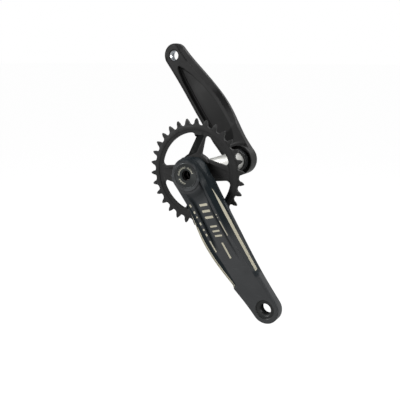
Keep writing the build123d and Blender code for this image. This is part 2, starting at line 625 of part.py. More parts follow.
with BuildPart() as pinch_screw:
    with BuildSketch(PINCH_PLANE.offset(PINCH_HEAD_SEAT + SEAT)):
        Circle(PINCH_HEAD_R)
    extrude(amount=PINCH_HEAD_LENGTH)
    chamfer(pinch_screw.faces().sort_by(Axis(PINCH_PLANE.origin, PINCH_PLANE.z_dir))[-1].edges(), PINCH_CHAMFER)
    with BuildSketch(PINCH_PLANE.offset(PINCH_HEAD_SEAT + SEAT)):
        Circle(PINCH_R)
    extrude(amount=-PINCH_HEAD_SEAT - ADJUSTER_EAR_HALF + PINCH_CHAMFER)
    with BuildSketch(PINCH_PLANE.offset(PINCH_HEAD_SEAT + SEAT + PINCH_HEAD_LENGTH)):
        RegularPolygon(PINCH_HEX / 2, 6, major_radius=False)
    extrude(amount=-PINCH_HEAD_LENGTH * 0.7, mode=Mode.SUBTRACT)
pinch_screw.part.label = "pinch_screw"
export_step(pinch_screw.part, "parts/pinch_screw.step")

# ---------------------------------------------------------------- retaining ring and plug of the left end
with BuildPart() as spindle_retaining_ring:
    with BuildSketch(face_plane(LEFT, RETAINER_FLOOR + SEAT)):
        Circle(RETAINER_R)
        Circle(RETAINER_GROOVE_R + FIT, mode=Mode.SUBTRACT)
        with Locations((RETAINER_R, 0)):
            Rectangle(RETAINER_R, RETAINER_GAP, mode=Mode.SUBTRACT)
    extrude(amount=RETAINER_THICK)
spindle_retaining_ring.part.label = "spindle_retaining_ring"
export_step(spindle_retaining_ring.part, "parts/spindle_retaining_ring.step")

with BuildPart() as left_end_plug:
    with BuildSketch(face_plane(LEFT, PLUG_BACK)):
        Circle(PLUG_R)
    extrude(amount=PLUG_THICK)
    chamfer(left_end_plug.faces().sort_by(Axis.Y)[-1].edges(), PLUG_CHAMFER)
    with BuildSketch(face_plane(LEFT, PLUG_BACK)):
        Circle(PLUG_STEM_R)
    extrude(amount=SPINDLE_LEFT_END - PLUG_BACK - PLUG_STEM)
    # seat of the sealing ring
    with BuildSketch(face_plane(LEFT, PLUG_RING_FACE)):
        Circle(PLUG_STEM_R)
        Circle(PLUG_STEM_R - PLUG_RING_WIDTH / 2, mode=Mode.SUBTRACT)
    extrude(amount=-PLUG_RING_THICK, mode=Mode.SUBTRACT)
left_end_plug.part.label = "left_end_plug"
export_step(left_end_plug.part, "parts/left_end_plug.step")

with BuildPart() as plug_ring:
    with BuildSketch(face_plane(LEFT, PLUG_RING_FACE - SEAT)):
        Circle(SPINDLE_BORE_R - FIT)
        Circle(PLUG_STEM_R - PLUG_RING_WIDTH / 2 + FIT, mode=Mode.SUBTRACT)
    extrude(amount=-PLUG_RING_THICK + 2 * SEAT)
    fillet(plug_ring.edges().filter_by(GeomType.CIRCLE), PLUG_RING_THICK / 4)
plug_ring.part.label = "plug_ring"
export_step(plug_ring.part, "parts/plug_ring.step")
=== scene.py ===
"""Mountain bicycle crankset: two forged arms, a polished hollow spindle and a single chainring.

Every mesh is drawn in millimetres in an arm's own coordinates and placed in the row frame, in metres:
x runs along the arm from the spindle axis, v runs across it towards its trailing edge, and h outward
from the bicycle's centre plane.
"""

import json
import logging
import math
from dataclasses import dataclass, field
from enum import Enum
from typing import Callable, Sequence

import bmesh
import bpy
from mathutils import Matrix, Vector


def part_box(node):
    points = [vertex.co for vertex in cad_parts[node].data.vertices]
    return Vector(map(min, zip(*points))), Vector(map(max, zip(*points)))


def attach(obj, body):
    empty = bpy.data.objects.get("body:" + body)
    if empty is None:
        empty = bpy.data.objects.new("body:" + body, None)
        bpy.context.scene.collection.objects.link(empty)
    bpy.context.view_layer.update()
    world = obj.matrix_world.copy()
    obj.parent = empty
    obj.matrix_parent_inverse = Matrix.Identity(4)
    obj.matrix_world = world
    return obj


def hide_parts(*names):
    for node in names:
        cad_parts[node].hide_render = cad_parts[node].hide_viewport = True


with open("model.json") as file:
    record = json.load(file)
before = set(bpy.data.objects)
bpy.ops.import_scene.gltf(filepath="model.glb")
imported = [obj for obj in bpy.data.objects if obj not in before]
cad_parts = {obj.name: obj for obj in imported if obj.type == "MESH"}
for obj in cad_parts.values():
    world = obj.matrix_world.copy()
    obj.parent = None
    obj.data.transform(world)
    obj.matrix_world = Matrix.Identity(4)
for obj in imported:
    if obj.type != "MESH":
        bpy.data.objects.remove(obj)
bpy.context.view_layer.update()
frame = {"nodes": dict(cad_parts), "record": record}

Line = tuple[tuple[float, float], ...]
Profile = Sequence[tuple[float, float]]
Mesh = bmesh.types.BMesh
Piece = bpy.types.Object
Tree = bpy.types.NodeTree
Socket = bpy.types.NodeSocket
MM = 0.001
log = logging.getLogger("crankset")


class Side(Enum):
    """The two sides of the bicycle; the value is the direction of that arm along the drive arm."""

    DRIVE = 1
    LEFT = -1


# ------------------------------------------------------------------ small mathematics
def clamp(value: float, low: float = 0.0, high: float = 1.0) -> float:
    """Limit a value to a range."""
    return max(low, min(high, value))


def ease(start: float, end: float, value: float) -> float:
    """Smooth step from 0 at start to 1 at end; the end may be the smaller of the two."""
    share = clamp((value - start) / (end - start))
    return share * share * (3 - 2 * share)


def fade(distance: float, width: float, power: float) -> float:
    """Share that falls from 1 at a line to 0 at a width from it, the steeper the higher the power."""
    return (1 - clamp(distance / width)) ** power


def smooth_max(first: float, second: float, blend: float) -> float:
    """Larger of two values, rounded over a width of blend where they cross."""
    share = clamp(0.5 + (first - second) / (2 * blend))
    return second + (first - second) * share + blend * share * (1 - share)


def follow(points: Profile, place: float) -> float:
    """Value at a place of a smooth line through (place, value) points; level beyond its ends."""
    if place <= points[0][0]:
        return points[0][1]
    for (x0, y0), (x1, y1) in zip(points, points[1:]):
        if place <= x1:
            return y0 + (y1 - y0) * ease(x0, x1, place) * 0.5 + (y1 - y0) * (place - x0) / (x1 - x0) * 0.5
    return points[-1][1]


# ------------------------------------------------------------------ frame facts
def mount(name: str) -> dict:
    """The record's mount of that name."""
    return next(entry for entry in frame["record"]["mounts"] if entry["name"] == name)


PEDAL = Vector(mount("drive_pedal_thread")["pos_m"])
CRANK_LENGTH = math.hypot(PEDAL.x, PEDAL.z) / MM
PEDAL_FACE = -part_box("drive_arm")[0].y / MM
ALONG = Vector((PEDAL.x, 0, PEDAL.z)).normalized()
ACROSS = Vector((-ALONG.z, 0, ALONG.x))


@dataclass(frozen=True)
class ArmAxes:
    """Local directions of one arm."""

    side: Side

    def place(self, x: float, v: float, h: float) -> Vector:
        """Point of the row frame, in metres, for arm coordinates in millimetres."""
        sign = self.side.value
        point = (ALONG * x + ACROSS * v) * sign
        point.y = -sign * h
        return point * MM


# ------------------------------------------------------------------ mesh helpers
SHARP_ANGLE = math.radians(33)
ROUNDED_ANGLE = math.radians(30.0)
SOFT_ANGLE = math.radians(40)
FLAT_ANGLE = math.radians(1.0)
BORE_MARGIN = 0.5 * MM
LARGE_FACE_WEIGHT = 70
WELD = 2e-6
STRIPE = "stripe"
SHADE = "shade"


def finish_mesh(bm: Mesh, name: str, sharp: float = SHARP_ANGLE) -> Piece:
    """Turn a bmesh into a linked object with smooth faces and sharp edges.

    Args:
        bm: the mesh, in metres; it is freed.
        name: name of the object.
        sharp: edges that turn by more than this stay sharp.

    Returns:
        The new object.
    """
    mesh = bpy.data.meshes.new(name)
    bmesh.ops.recalc_face_normals(bm, faces=bm.faces)
    bm.to_mesh(mesh)
    bm.free()
    piece = bpy.data.objects.new(name, mesh)
    bpy.context.scene.collection.objects.link(piece)
    soften(piece, sharp)
    return piece


def soften(piece: Piece, sharp: float = SHARP_ANGLE) -> None:
    """Shade a piece smooth except at edges that turn by more than an angle."""
    piece.data.shade_smooth()
    piece.data.set_sharp_from_angle(angle=sharp)


def lathe(profile: Profile, axes: ArmAxes, x: float = 0.0, steps: int = 96, solid: bool = False) -> Mesh:
    """Mesh turned about the outward axis at a place along an arm.

    Args:
        profile: (radius, height) corners of the section, in order.
        axes: the arm's axes.
        x: distance of the turning axis along the arm.
        steps: segments of a full turn.
        solid: True if the section starts and ends on the axis, False if it is a closed ring beside it.

    Returns:
        The turned mesh.
    """
    bm = bmesh.new()
    corners = [bm.verts.new(axes.place(x + radius, 0, height)) for radius, height in profile]
    following = corners[1:] if solid else corners[1:] + corners[:1]
    edges = [bm.edges.new(pair) for pair in zip(corners, following)]
    bmesh.ops.spin(bm, geom=corners + edges, cent=axes.place(x, 0, 0), axis=(0, 1, 0),
                   angle=2 * math.pi, steps=steps, use_merge=True)
    bmesh.ops.remove_doubles(bm, verts=bm.verts, dist=WELD)
    return bm


def cut_or_join(piece: Piece, tool: Piece, operation: str) -> None:
    """Apply one exact boolean, UNION or DIFFERENCE, to a piece and delete the tool."""
    modifier = piece.modifiers.new(operation.lower(), "BOOLEAN")
    modifier.operation = operation
    modifier.solver = "EXACT"
    modifier.material_mode = "TRANSFER"
    modifier.object = tool
    apply_modifiers(piece)
    bpy.data.objects.remove(tool)


def apply_modifiers(piece: Piece) -> None:
    """Make a piece's modifiers part of its mesh."""
    bpy.context.view_layer.update()
    graph = bpy.context.evaluated_depsgraph_get()
    mesh = bpy.data.meshes.new_from_object(piece.evaluated_get(graph), preserve_all_data_layers=True,
                                           depsgraph=graph)
    piece.modifiers.clear()
    piece.data = mesh


def settle_normals(piece: Piece) -> None:
    """Let the larger faces lead the shading, so that joined and cut faces stay even."""
    modifier = piece.modifiers.new("even shading", "WEIGHTED_NORMAL")
    modifier.weight = LARGE_FACE_WEIGHT
    modifier.keep_sharp = True
    apply_modifiers(piece)


def round_edges(piece: Piece, width: float) -> None:
    """Round the sharp edges of a finished piece with an applied bevel, its width in millimetres."""
    modifier = piece.modifiers.new("rounding", "BEVEL")
    modifier.width = width * MM
    modifier.segments = 2
    modifier.limit_method = "ANGLE"
    modifier.angle_limit = ROUNDED_ANGLE
    modifier.use_clamp_overlap = True
    apply_modifiers(piece)
    soften(piece, SOFT_ANGLE)


def open_bore(piece: Piece, amount: float) -> None:
    """Widen a ring's bore a little, so that the flats of a turning shank stay clear of it."""
    inner = min(math.hypot(vertex.co.x, vertex.co.z) for vertex in piece.data.vertices)
    for vertex in piece.data.vertices:
        radius = math.hypot(vertex.co.x, vertex.co.z)
        if radius < inner + BORE_MARGIN:
            vertex.co.x *= 1 + amount * MM / radius
            vertex.co.z *= 1 + amount * MM / radius


def refined_node(node: str) -> Piece:
    """Merged copy of a CAD node, with its flat faces made one."""
    bm = bmesh.new()
    bm.from_mesh(frame["nodes"][node].data)
    bmesh.ops.remove_doubles(bm, verts=bm.verts, dist=WELD)
    bmesh.ops.dissolve_degenerate(bm, edges=bm.edges, dist=WELD)
    bmesh.ops.dissolve_limit(bm, angle_limit=FLAT_ANGLE, verts=bm.verts, edges=bm.edges)
    return finish_mesh(bm, node + "_finished")


def wedge(corners: Profile, depths: Sequence[float], top: float,
          axes: ArmAxes) -> Mesh:
    """Four-sided cutter with a slanted bottom.

    Args:
        corners: four (x, v) corners in order round the cutter.
        depths: height of the bottom at each corner.
        top: height of the flat top.
        axes: the arm's axes.

    Returns:
        The cutter's mesh.
    """
    bm = bmesh.new()
    low = [bm.verts.new(axes.place(x, v, height)) for (x, v), height in zip(corners, depths)]
    base = bm.faces.new(low)
    raised = bmesh.ops.extrude_face_region(bm, geom=[base])["geom"]
    for vert in (part for part in raised if isinstance(part, bmesh.types.BMVert)):
        vert.co.y = axes.place(0, 0, top).y
    bmesh.ops.recalc_face_normals(bm, faces=bm.faces)
    return bm


def body_of(node: str) -> str:
    """Name of the body that a CAD node belongs to."""
    bodies = frame["record"]["behaviour"]["bodies"]
    return next(body for body, members in bodies.items() if node in members)


# ------------------------------------------------------------------ shader groups
def new_group(name: str, number: tuple[str, float], outputs: Sequence[str]) -> Tree:
    """Shader node group with a Vector input, a number input (its name and default) and value outputs."""
    tree = bpy.data.node_groups.new(name, "ShaderNodeTree")
    tree.interface.new_socket("Vector", in_out="INPUT", socket_type="NodeSocketVector")
    label, default = number
    tree.interface.new_socket(label, in_out="INPUT", socket_type="NodeSocketFloat").default_value = default
    for label in outputs:
        tree.interface.new_socket(label, in_out="OUTPUT", socket_type="NodeSocketFloat")
    tree.nodes.new("NodeGroupInput").name = "in"
    tree.nodes.new("NodeGroupOutput").name = "out"
    return tree


COLOUR_A, COLOUR_B, COLOUR_OUT = 6, 7, 2


def feed(tree: Tree, value: object, socket: Socket) -> None:
    """Link a socket to another one, or set it to a constant; None leaves it."""
    if isinstance(value, Socket):
        tree.links.new(value, socket)
    elif value is not None:
        socket.default_value = value


def maths(tree: Tree, operation: str, first: object, second: object = None, third: object = None) -> Socket:
    """Add a Math node; each operand is a socket, a number or nothing."""
    node = tree.nodes.new("ShaderNodeMath")
    node.operation = operation
    for value, socket in zip((first, second, third), node.inputs):
        feed(tree, value, socket)
    return node.outputs[0]


def noise(tree: Tree, vector: Socket, scale: object, detail: float, distortion: float = 0.0) -> Socket:
    """Noise Texture value at the coordinates; the scale is a socket or a number."""
    node = tree.nodes.new("ShaderNodeTexNoise")
    values = {"Vector": vector, "Scale": scale, "Detail": detail, "Distortion": distortion}
    for label, value in values.items():
        feed(tree, value, node.inputs[label])
    return node.outputs["Fac"]


def ramp(tree: Tree, value: Socket, low: object, high: object, to_low: float = 0.0,
         to_high: float = 1.0) -> Socket:
    """Map a value smoothly from the range low to high, each a socket or a number, to another range."""
    node = tree.nodes.new("ShaderNodeMapRange")
    node.interpolation_type = "SMOOTHSTEP"
    limits = {"Value": value, "From Min": low, "From Max": high, "To Min": to_low, "To Max": to_high}
    for label, limit in limits.items():
        feed(tree, limit, node.inputs[label])
    return node.outputs["Result"]


def mix(tree: Tree, factor: Socket, first: object, second: object) -> Socket:
    """Mix two colours, each a socket or a constant; the factor is the second one's share."""
    node = tree.nodes.new("ShaderNodeMix")
    node.data_type = "RGBA"
    for socket, value in (("Factor", factor), (COLOUR_A, first), (COLOUR_B, second)):
        feed(tree, value, node.inputs[socket])
    return node.outputs[COLOUR_OUT]


def attribute(tree: Tree, name: str) -> Socket:
    """Add an Attribute node and give its value."""
    node = tree.nodes.new("ShaderNodeAttribute")
    node.attribute_name = name
    return node.outputs["Fac"]


# Sizes and strengths of the effects that every finish shares.
GRAIN_SCALE = 2600.0
GRAIN_UNDER_LINES = 0.2
HANDLING_SCALE = 45.0
WEAR_REACH = 0.03
WEAR_METAL = 0.5
BARE_METAL = 0.95
BUMP_STRENGTH = 0.55
SCRATCH_STRENGTH = 0.12
SCRATCH_GLOSS = 0.3
SMEAR_SPREAD = (0.88, 1.14)
PRINT_EDGE = (0.93, 1.07)
RING_FACING = (0.7, 0.95)
WAVE_LENGTH = 2 * math.pi / 20


@dataclass(frozen=True)
class Effects:
    """Shader groups that every finish shares."""

    grain: Tree
    wear: Tree
    handling: Tree

    @staticmethod
    def make() -> "Effects":
        """Build the three groups once."""
        return Effects(Effects.make_grain(), Effects.make_wear(), Effects.make_handling())

    @staticmethod
    def make_grain() -> Tree:
        """Fine blasted grain of the metal: a height, and a slow mottling mask."""
        tree = new_group("blasted grain", ("Scale", GRAIN_SCALE), ("Height", "Mottle"))
        source, sink = tree.nodes["in"], tree.nodes["out"]
        vector, scale = source.outputs["Vector"], source.outputs["Scale"]
        fine = noise(tree, vector, scale, 3.0)
        coarse = noise(tree, vector, maths(tree, "MULTIPLY", scale, 0.23), 2.0)
        height = maths(tree, "MULTIPLY_ADD", fine, 0.7, maths(tree, "MULTIPLY", coarse, 0.3))
        tree.links.new(height, sink.inputs["Height"])
        slow = noise(tree, vector, maths(tree, "MULTIPLY", scale, 0.02), 4.0, 0.4)
        tree.links.new(ramp(tree, slow, 0.32, 0.68), sink.inputs["Mottle"])
        return tree

    @staticmethod
    def make_wear() -> Tree:
        """Rubbed edges: a mask that is 1 where an edge is worn."""
        tree = new_group("rubbed edges", ("Reach", WEAR_REACH), ("Mask",))
        source, sink = tree.nodes["in"], tree.nodes["out"]
        point = tree.nodes.new("ShaderNodeNewGeometry").outputs["Pointiness"]
        start = maths(tree, "ADD", 0.515, source.outputs["Reach"])
        edge = ramp(tree, point, start, maths(tree, "ADD", start, 0.06))
        patches = ramp(tree, noise(tree, source.outputs["Vector"], 170.0, 5.0), 0.42, 0.62)
        tree.links.new(maths(tree, "MULTIPLY", edge, patches), sink.inputs["Mask"])
        return tree

    @staticmethod
    def make_handling() -> Tree:
        """Marks of handling: a smear mask and a fine scratch mask."""
        tree = new_group("handling marks", ("Scale", HANDLING_SCALE), ("Smear", "Scratch"))
        source, sink = tree.nodes["in"], tree.nodes["out"]
        vector, scale = source.outputs["Vector"], source.outputs["Scale"]
        smear = noise(tree, vector, scale, 6.0, 1.2)
        tree.links.new(ramp(tree, smear, 0.35, 0.7), sink.inputs["Smear"])
        stretch = tree.nodes.new("ShaderNodeMapping")
        stretch.inputs["Scale"].default_value = (60.0, 900.0, 1500.0)
        stretch.inputs["Rotation"].default_value = (0.3, 0.7, 0.2)
        tree.links.new(vector, stretch.inputs["Vector"])
        lines = noise(tree, stretch.outputs["Vector"], 1.0, 2.0)
        tree.links.new(ramp(tree, lines, 0.66, 0.74), sink.inputs["Scratch"])
        return tree


# ------------------------------------------------------------------ finishes
def tone(code: str) -> tuple[float, float, float, float]:
    """Linear colour of a six-digit screen colour code."""
    parts = [int(code[place:place + 2], 16) / 255 for place in (0, 2, 4)]
    linear = [part / 12.92 if part <= 0.04045 else ((part + 0.055) / 1.055) ** 2.4 for part in parts]
    return (*linear, 1.0)


class Texture(Enum):
    """How a metal surface was made."""

    BLASTED = "blasted"
    TURNED = "turned"
    GROUND = "ground"
    MOULDED = "moulded"


@dataclass(frozen=True)
class Finish:
    """Numbers of one surface finish and the material made from them."""

    name: str
    colour: str
    mottle: str
    roughness: float
    metallic: float
    texture: Texture = Texture.BLASTED
    grain_scale: float = GRAIN_SCALE
    relief: float = 0.00002
    wear: str = "8c8d8c"
    wear_amount: float = 0.35
    turning: float = 0.00045
    anisotropic: float = 0.0
    specular: float = 0.5
    print_colour: str = ""
    # Colour of the painted shade and the two-tone paint.
    shade_colour: str = ""

    def material(self, effects: Effects) -> bpy.types.Material:
        """Build the material of this finish from the shared shader groups."""
        material = bpy.data.materials.new(self.name)
        material.use_nodes = True
        tree = material.node_tree
        shader = tree.nodes["Principled BSDF"]
        shader.inputs["Specular IOR Level"].default_value = self.specular
        shader.inputs["Anisotropic"].default_value = self.anisotropic
        place = tree.nodes.new("ShaderNodeTexCoord").outputs["Object"]
        grain = self.add_group(tree, effects.grain, place, "Scale", self.grain_scale)
        marks = self.add_group(tree, effects.handling, place, "Scale", HANDLING_SCALE)
        worn = self.add_group(tree, effects.wear, place, "Reach", WEAR_REACH)
        colour = mix(tree, grain.outputs["Mottle"], tone(self.colour), tone(self.mottle))
        scratch = maths(tree, "MULTIPLY", marks.outputs["Scratch"], SCRATCH_STRENGTH)
        colour = mix(tree, scratch, colour, tone(self.wear))
        # Painted shade and two-tone paint: the shade attribute darkens the colour towards the shade colour.
        if self.shade_colour:
            colour = mix(tree, attribute(tree, SHADE), colour, tone(self.shade_colour))
        if self.print_colour:
            inside = ramp(tree, attribute(tree, STRIPE), *PRINT_EDGE)
            colour = mix(tree, inside, colour, tone(self.print_colour))
        edge = maths(tree, "MULTIPLY", worn.outputs["Mask"], self.wear_amount)
        colour = mix(tree, edge, colour, tone(self.wear))
        tree.links.new(colour, shader.inputs["Base Color"])
        low, high = (self.roughness * factor for factor in SMEAR_SPREAD)
        rough = ramp(tree, marks.outputs["Smear"], 0.0, 1.0, low, high)
        rough = maths(tree, "MULTIPLY_ADD", scratch, -SCRATCH_GLOSS, rough)
        tree.links.new(rough, shader.inputs["Roughness"])
        if self.metallic < BARE_METAL:
            metal = maths(tree, "MULTIPLY", edge, WEAR_METAL)
            metal = maths(tree, "ADD", metal, self.metallic)
            tree.links.new(metal, shader.inputs["Metallic"])
        else:
            shader.inputs["Metallic"].default_value = self.metallic
        height = grain.outputs["Height"]
        if self.texture in (Texture.TURNED, Texture.GROUND):
            height = self.turned(tree, place, height)
        bump = tree.nodes.new("ShaderNodeBump")
        bump.inputs["Strength"].default_value = BUMP_STRENGTH
        bump.inputs["Distance"].default_value = self.relief
        tree.links.new(height, bump.inputs["Height"])
        tree.links.new(bump.outputs["Normal"], shader.inputs["Normal"])
        if self.anisotropic > 0:
            tangent = tree.nodes.new("ShaderNodeTangent")
            tangent.direction_type = "RADIAL"
            tangent.axis = "Y"
            tree.links.new(tangent.outputs["Tangent"], shader.inputs["Tangent"])
        return material

    def turned(self, tree: Tree, place: Socket, height: Socket) -> Socket:
        """Add the fine tool lines to a height: rings on turned faces, bands on ground shafts."""
        rings = tree.nodes.new("ShaderNodeTexWave")
        rings.wave_type = "BANDS" if self.texture is Texture.GROUND else "RINGS"
        rings.bands_direction = rings.rings_direction = "Y"
        rings.inputs["Scale"].default_value = WAVE_LENGTH / self.turning
        rings.inputs["Distortion"].default_value = 0.4
        rings.inputs["Detail"].default_value = 2.0
        tree.links.new(place, rings.inputs["Vector"])
        lines = rings.outputs["Fac"]
        if self.texture is Texture.TURNED:
            parts = tree.nodes.new("ShaderNodeSeparateXYZ")
            normal = tree.nodes.new("ShaderNodeNewGeometry").outputs["True Normal"]
            tree.links.new(normal, parts.inputs[0])
            facing = ramp(tree, maths(tree, "ABSOLUTE", parts.outputs["Y"]), *RING_FACING)
            lines = maths(tree, "MULTIPLY", lines, facing)
        return maths(tree, "ADD", lines, maths(tree, "MULTIPLY", height, GRAIN_UNDER_LINES))

    @staticmethod
    def add_group(tree: Tree, group: Tree, place: Socket, socket: str, value: float) -> bpy.types.Node:
        """Place a shared group in a material, with its number input set."""
        node = tree.nodes.new("ShaderNodeGroup")
        node.node_tree = group
        tree.links.new(place, node.inputs["Vector"])
        node.inputs[socket].default_value = value
        return node


DRIVE_FORGING = Finish("satin blue-grey forging", "3b3c3d", "38393a", 0.42, 0.0, specular=0.05,
                       wear="6f7375", relief=0.000008, wear_amount=0.12, print_colour="a39f8e",
                       shade_colour="13191c")
LEFT_FORGING = Finish("satin black forging", "3d3d3d", "393939", 0.45, 0.0, specular=0.05, wear="6a6c6d",
                      relief=0.000008, wear_amount=0.12, print_colour="a39f8e", shade_colour="0b0b0b")
RING_ANODISED = Finish("matte black anodising", "2a2a2a", "262626", 0.45, 0.0, specular=0.05,
                       wear="6d6e6d", relief=0.000008, wear_amount=0.1)
# Painted shade on the slanted side facets of the narrow spokes.
RING_DISH_SHADE = Finish("painted dish shade", "0f1010", "0c0d0d", 0.45, 0.0, specular=0.02, wear="5d5e5d",
                   relief=0.000008, wear_amount=0.08)
DARK_THREAD_AND_SEAT_SHADE = Finish("black cut thread and seat shade", "232424", "1e1f1f", 0.4, 0.2, specular=0.2, relief=0.00001,
                     wear_amount=0.1)
BARE_THREAD = Finish("bare cut aluminium", "b4b7ba", "a2a5a8", 0.28, 0.96, relief=0.00001)
GROUND_STEEL = Finish("ground spindle steel", "b9b9b5", "b0b0ac", 0.32, 0.35, Texture.GROUND,
                      relief=0.0000008, turning=0.0006, wear_amount=0.0)
TURNED_CAP = Finish("turned grey cap", "2c2e2e", "282a2a", 0.34, 0.55, Texture.TURNED, relief=0.000006,
                    specular=0.2, wear_amount=0.1, anisotropic=0.6, print_colour="9b998c")
DARK_STEEL = Finish("dark tempered steel", "2e2a2a", "262323", 0.36, 0.8, Texture.TURNED, relief=0.00001)
PLAIN_STEEL = Finish("plain turned steel", "77787a", "6c6d6e", 0.3, 0.96, Texture.TURNED, relief=0.000006)
SPRING_STEEL = Finish("spring steel", "55544f", "4a4945", 0.35, 0.96, relief=0.00001)
COLLAR_BLACK = Finish("satin black collar", "232425", "1e1f20", 0.36, 0.1, Texture.TURNED,
                      relief=0.000008, specular=0.16, wear_amount=0.1)
BLACK_WASHER = Finish("blackened washer", "222323", "1d1e1e", 0.4, 0.2, Texture.TURNED, relief=0.000006,
                      specular=0.2, wear_amount=0.1)
PLAIN_ALUMINIUM = Finish("plain aluminium", "8a8c8e", "7d7f81", 0.4, 0.95, Texture.TURNED)
GLIDE_PLASTIC = Finish("slippery white plastic", "d2ccba", "c7c1af", 0.45, 0.0, Texture.MOULDED,
                       grain_scale=1500.0, wear_amount=0.0)
MOULDED_PLASTIC = Finish("moulded black plastic", "2b2b2c", "242425", 0.5, 0.0, Texture.MOULDED,
                         grain_scale=1800.0, relief=0.00004, wear_amount=0.05)
SOFT_RUBBER = Finish("soft black rubber", "1f1f1f", "191919", 0.75, 0.0, Texture.MOULDED,
                     grain_scale=1500.0, relief=0.00003, specular=0.3, wear_amount=0.0)


# ------------------------------------------------------------------ shared building steps
@dataclass
class Workshop:
    """Materials and the list of finished pieces."""

    effects: Effects
    made: dict[str, bpy.types.Material] = field(default_factory=dict)
    pieces: list[str] = field(default_factory=list)

    def coat(self, finish: Finish) -> bpy.types.Material:
        """Material of a finish, made once."""
        if finish.name not in self.made:
            self.made[finish.name] = finish.material(self.effects)
        return self.made[finish.name]

    def dress(self, piece: Piece, *finishes: Finish) -> Piece:
        """Give a piece its finishes, one for each material slot, in order."""
        piece.data.materials.clear()
        for finish in finishes:
            piece.data.materials.append(self.coat(finish))
        return piece

    def deliver(self, piece: Piece, node: str) -> Piece:
        """Let a finished piece stand for a CAD node and take its body."""
        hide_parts(node)
        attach(piece, body_of(node))
        self.pieces.append(piece.name)
        log.info("%s: %d faces, on body %s", piece.name, len(piece.data.polygons), body_of(node))
        return piece


# ------------------------------------------------------------------ crank arms
@dataclass(frozen=True)
class Mark:
    """Printed bar along an arm: a straight-ended band about a line, in millimetres."""

    start: float
    end: float
    centre: Callable[[float], float]
    half: Callable[[float], float]
    slant: float = 0.0

    def depth_inside(self, x: float, v: float) -> float:
        """How far inside the band a point lies, in millimetres; negative outside."""
        middle = self.centre(x)
        along = x - self.slant * (v - middle)
        return min(self.half(x) - abs(v - middle), along - self.start, self.end - along)


# (radius, height) corners of the bosses and of the cutters of their bores.
DRIVE_BOSS: Line = (
    (3, 71.3), (18.3, 71.3), (18.75, 70.9), (18.95, 69.2), (19.3, 68.6), (20.05, 68.2), (20.3, 67.6),
    (20.3, 66.4), (19.85, 65.6), (19.95, 64.6), (20.75, 63.9), (21.0, 63.2), (21.0, 61.4), (20.6, 60.7),
    (20.2, 59.6), (20.2, 56.4), (19.7, 53.6), (18.8, 52.4), (17.0, 52.0), (16.6, 51.6), (16.6, 45.0),
    (15.98, 44.8), (15.98, 42.0), (15.4, 41.4), (3, 41.4))
LEFT_BOSS: Line = (
    (3, 57.5), (19.7, 57.5), (20.05, 57.65), (20.3, 58.0), (20.4, 58.5), (20.4, 74.4), (20.0, 75.5),
    (19.0, 76.0), (3, 76.0))
DRIVE_BORES: Line = (
    (0, 38), (13.95, 38), (13.95, 43.22), (12.02, 43.22), (12.02, 59.73), (8.95, 59.73), (8.95, 62.13),
    (12.95, 62.13), (12.95, 68.1), (14.93, 68.1), (14.93, 70.95), (15.3, 71.32), (16.5, 72.5), (16.5, 90),
    (0, 90))
LEFT_BORES: Line = (
    (0, 50), (19.75, 50), (19.75, 57.4), (19.3, 57.75), (18.95, 58.5), (18.75, 59.5), (18.7, 60.6),
    (18.7, 63.1), (12.02, 63.1), (12.02, 70.8), (13.83, 70.8), (13.83, 75.6), (14.4, 76.1), (15.5, 77.2),
    (15.5, 90), (0, 90))
BOSS_STEPS = 160
PANEL_MIDDLE = -1.6


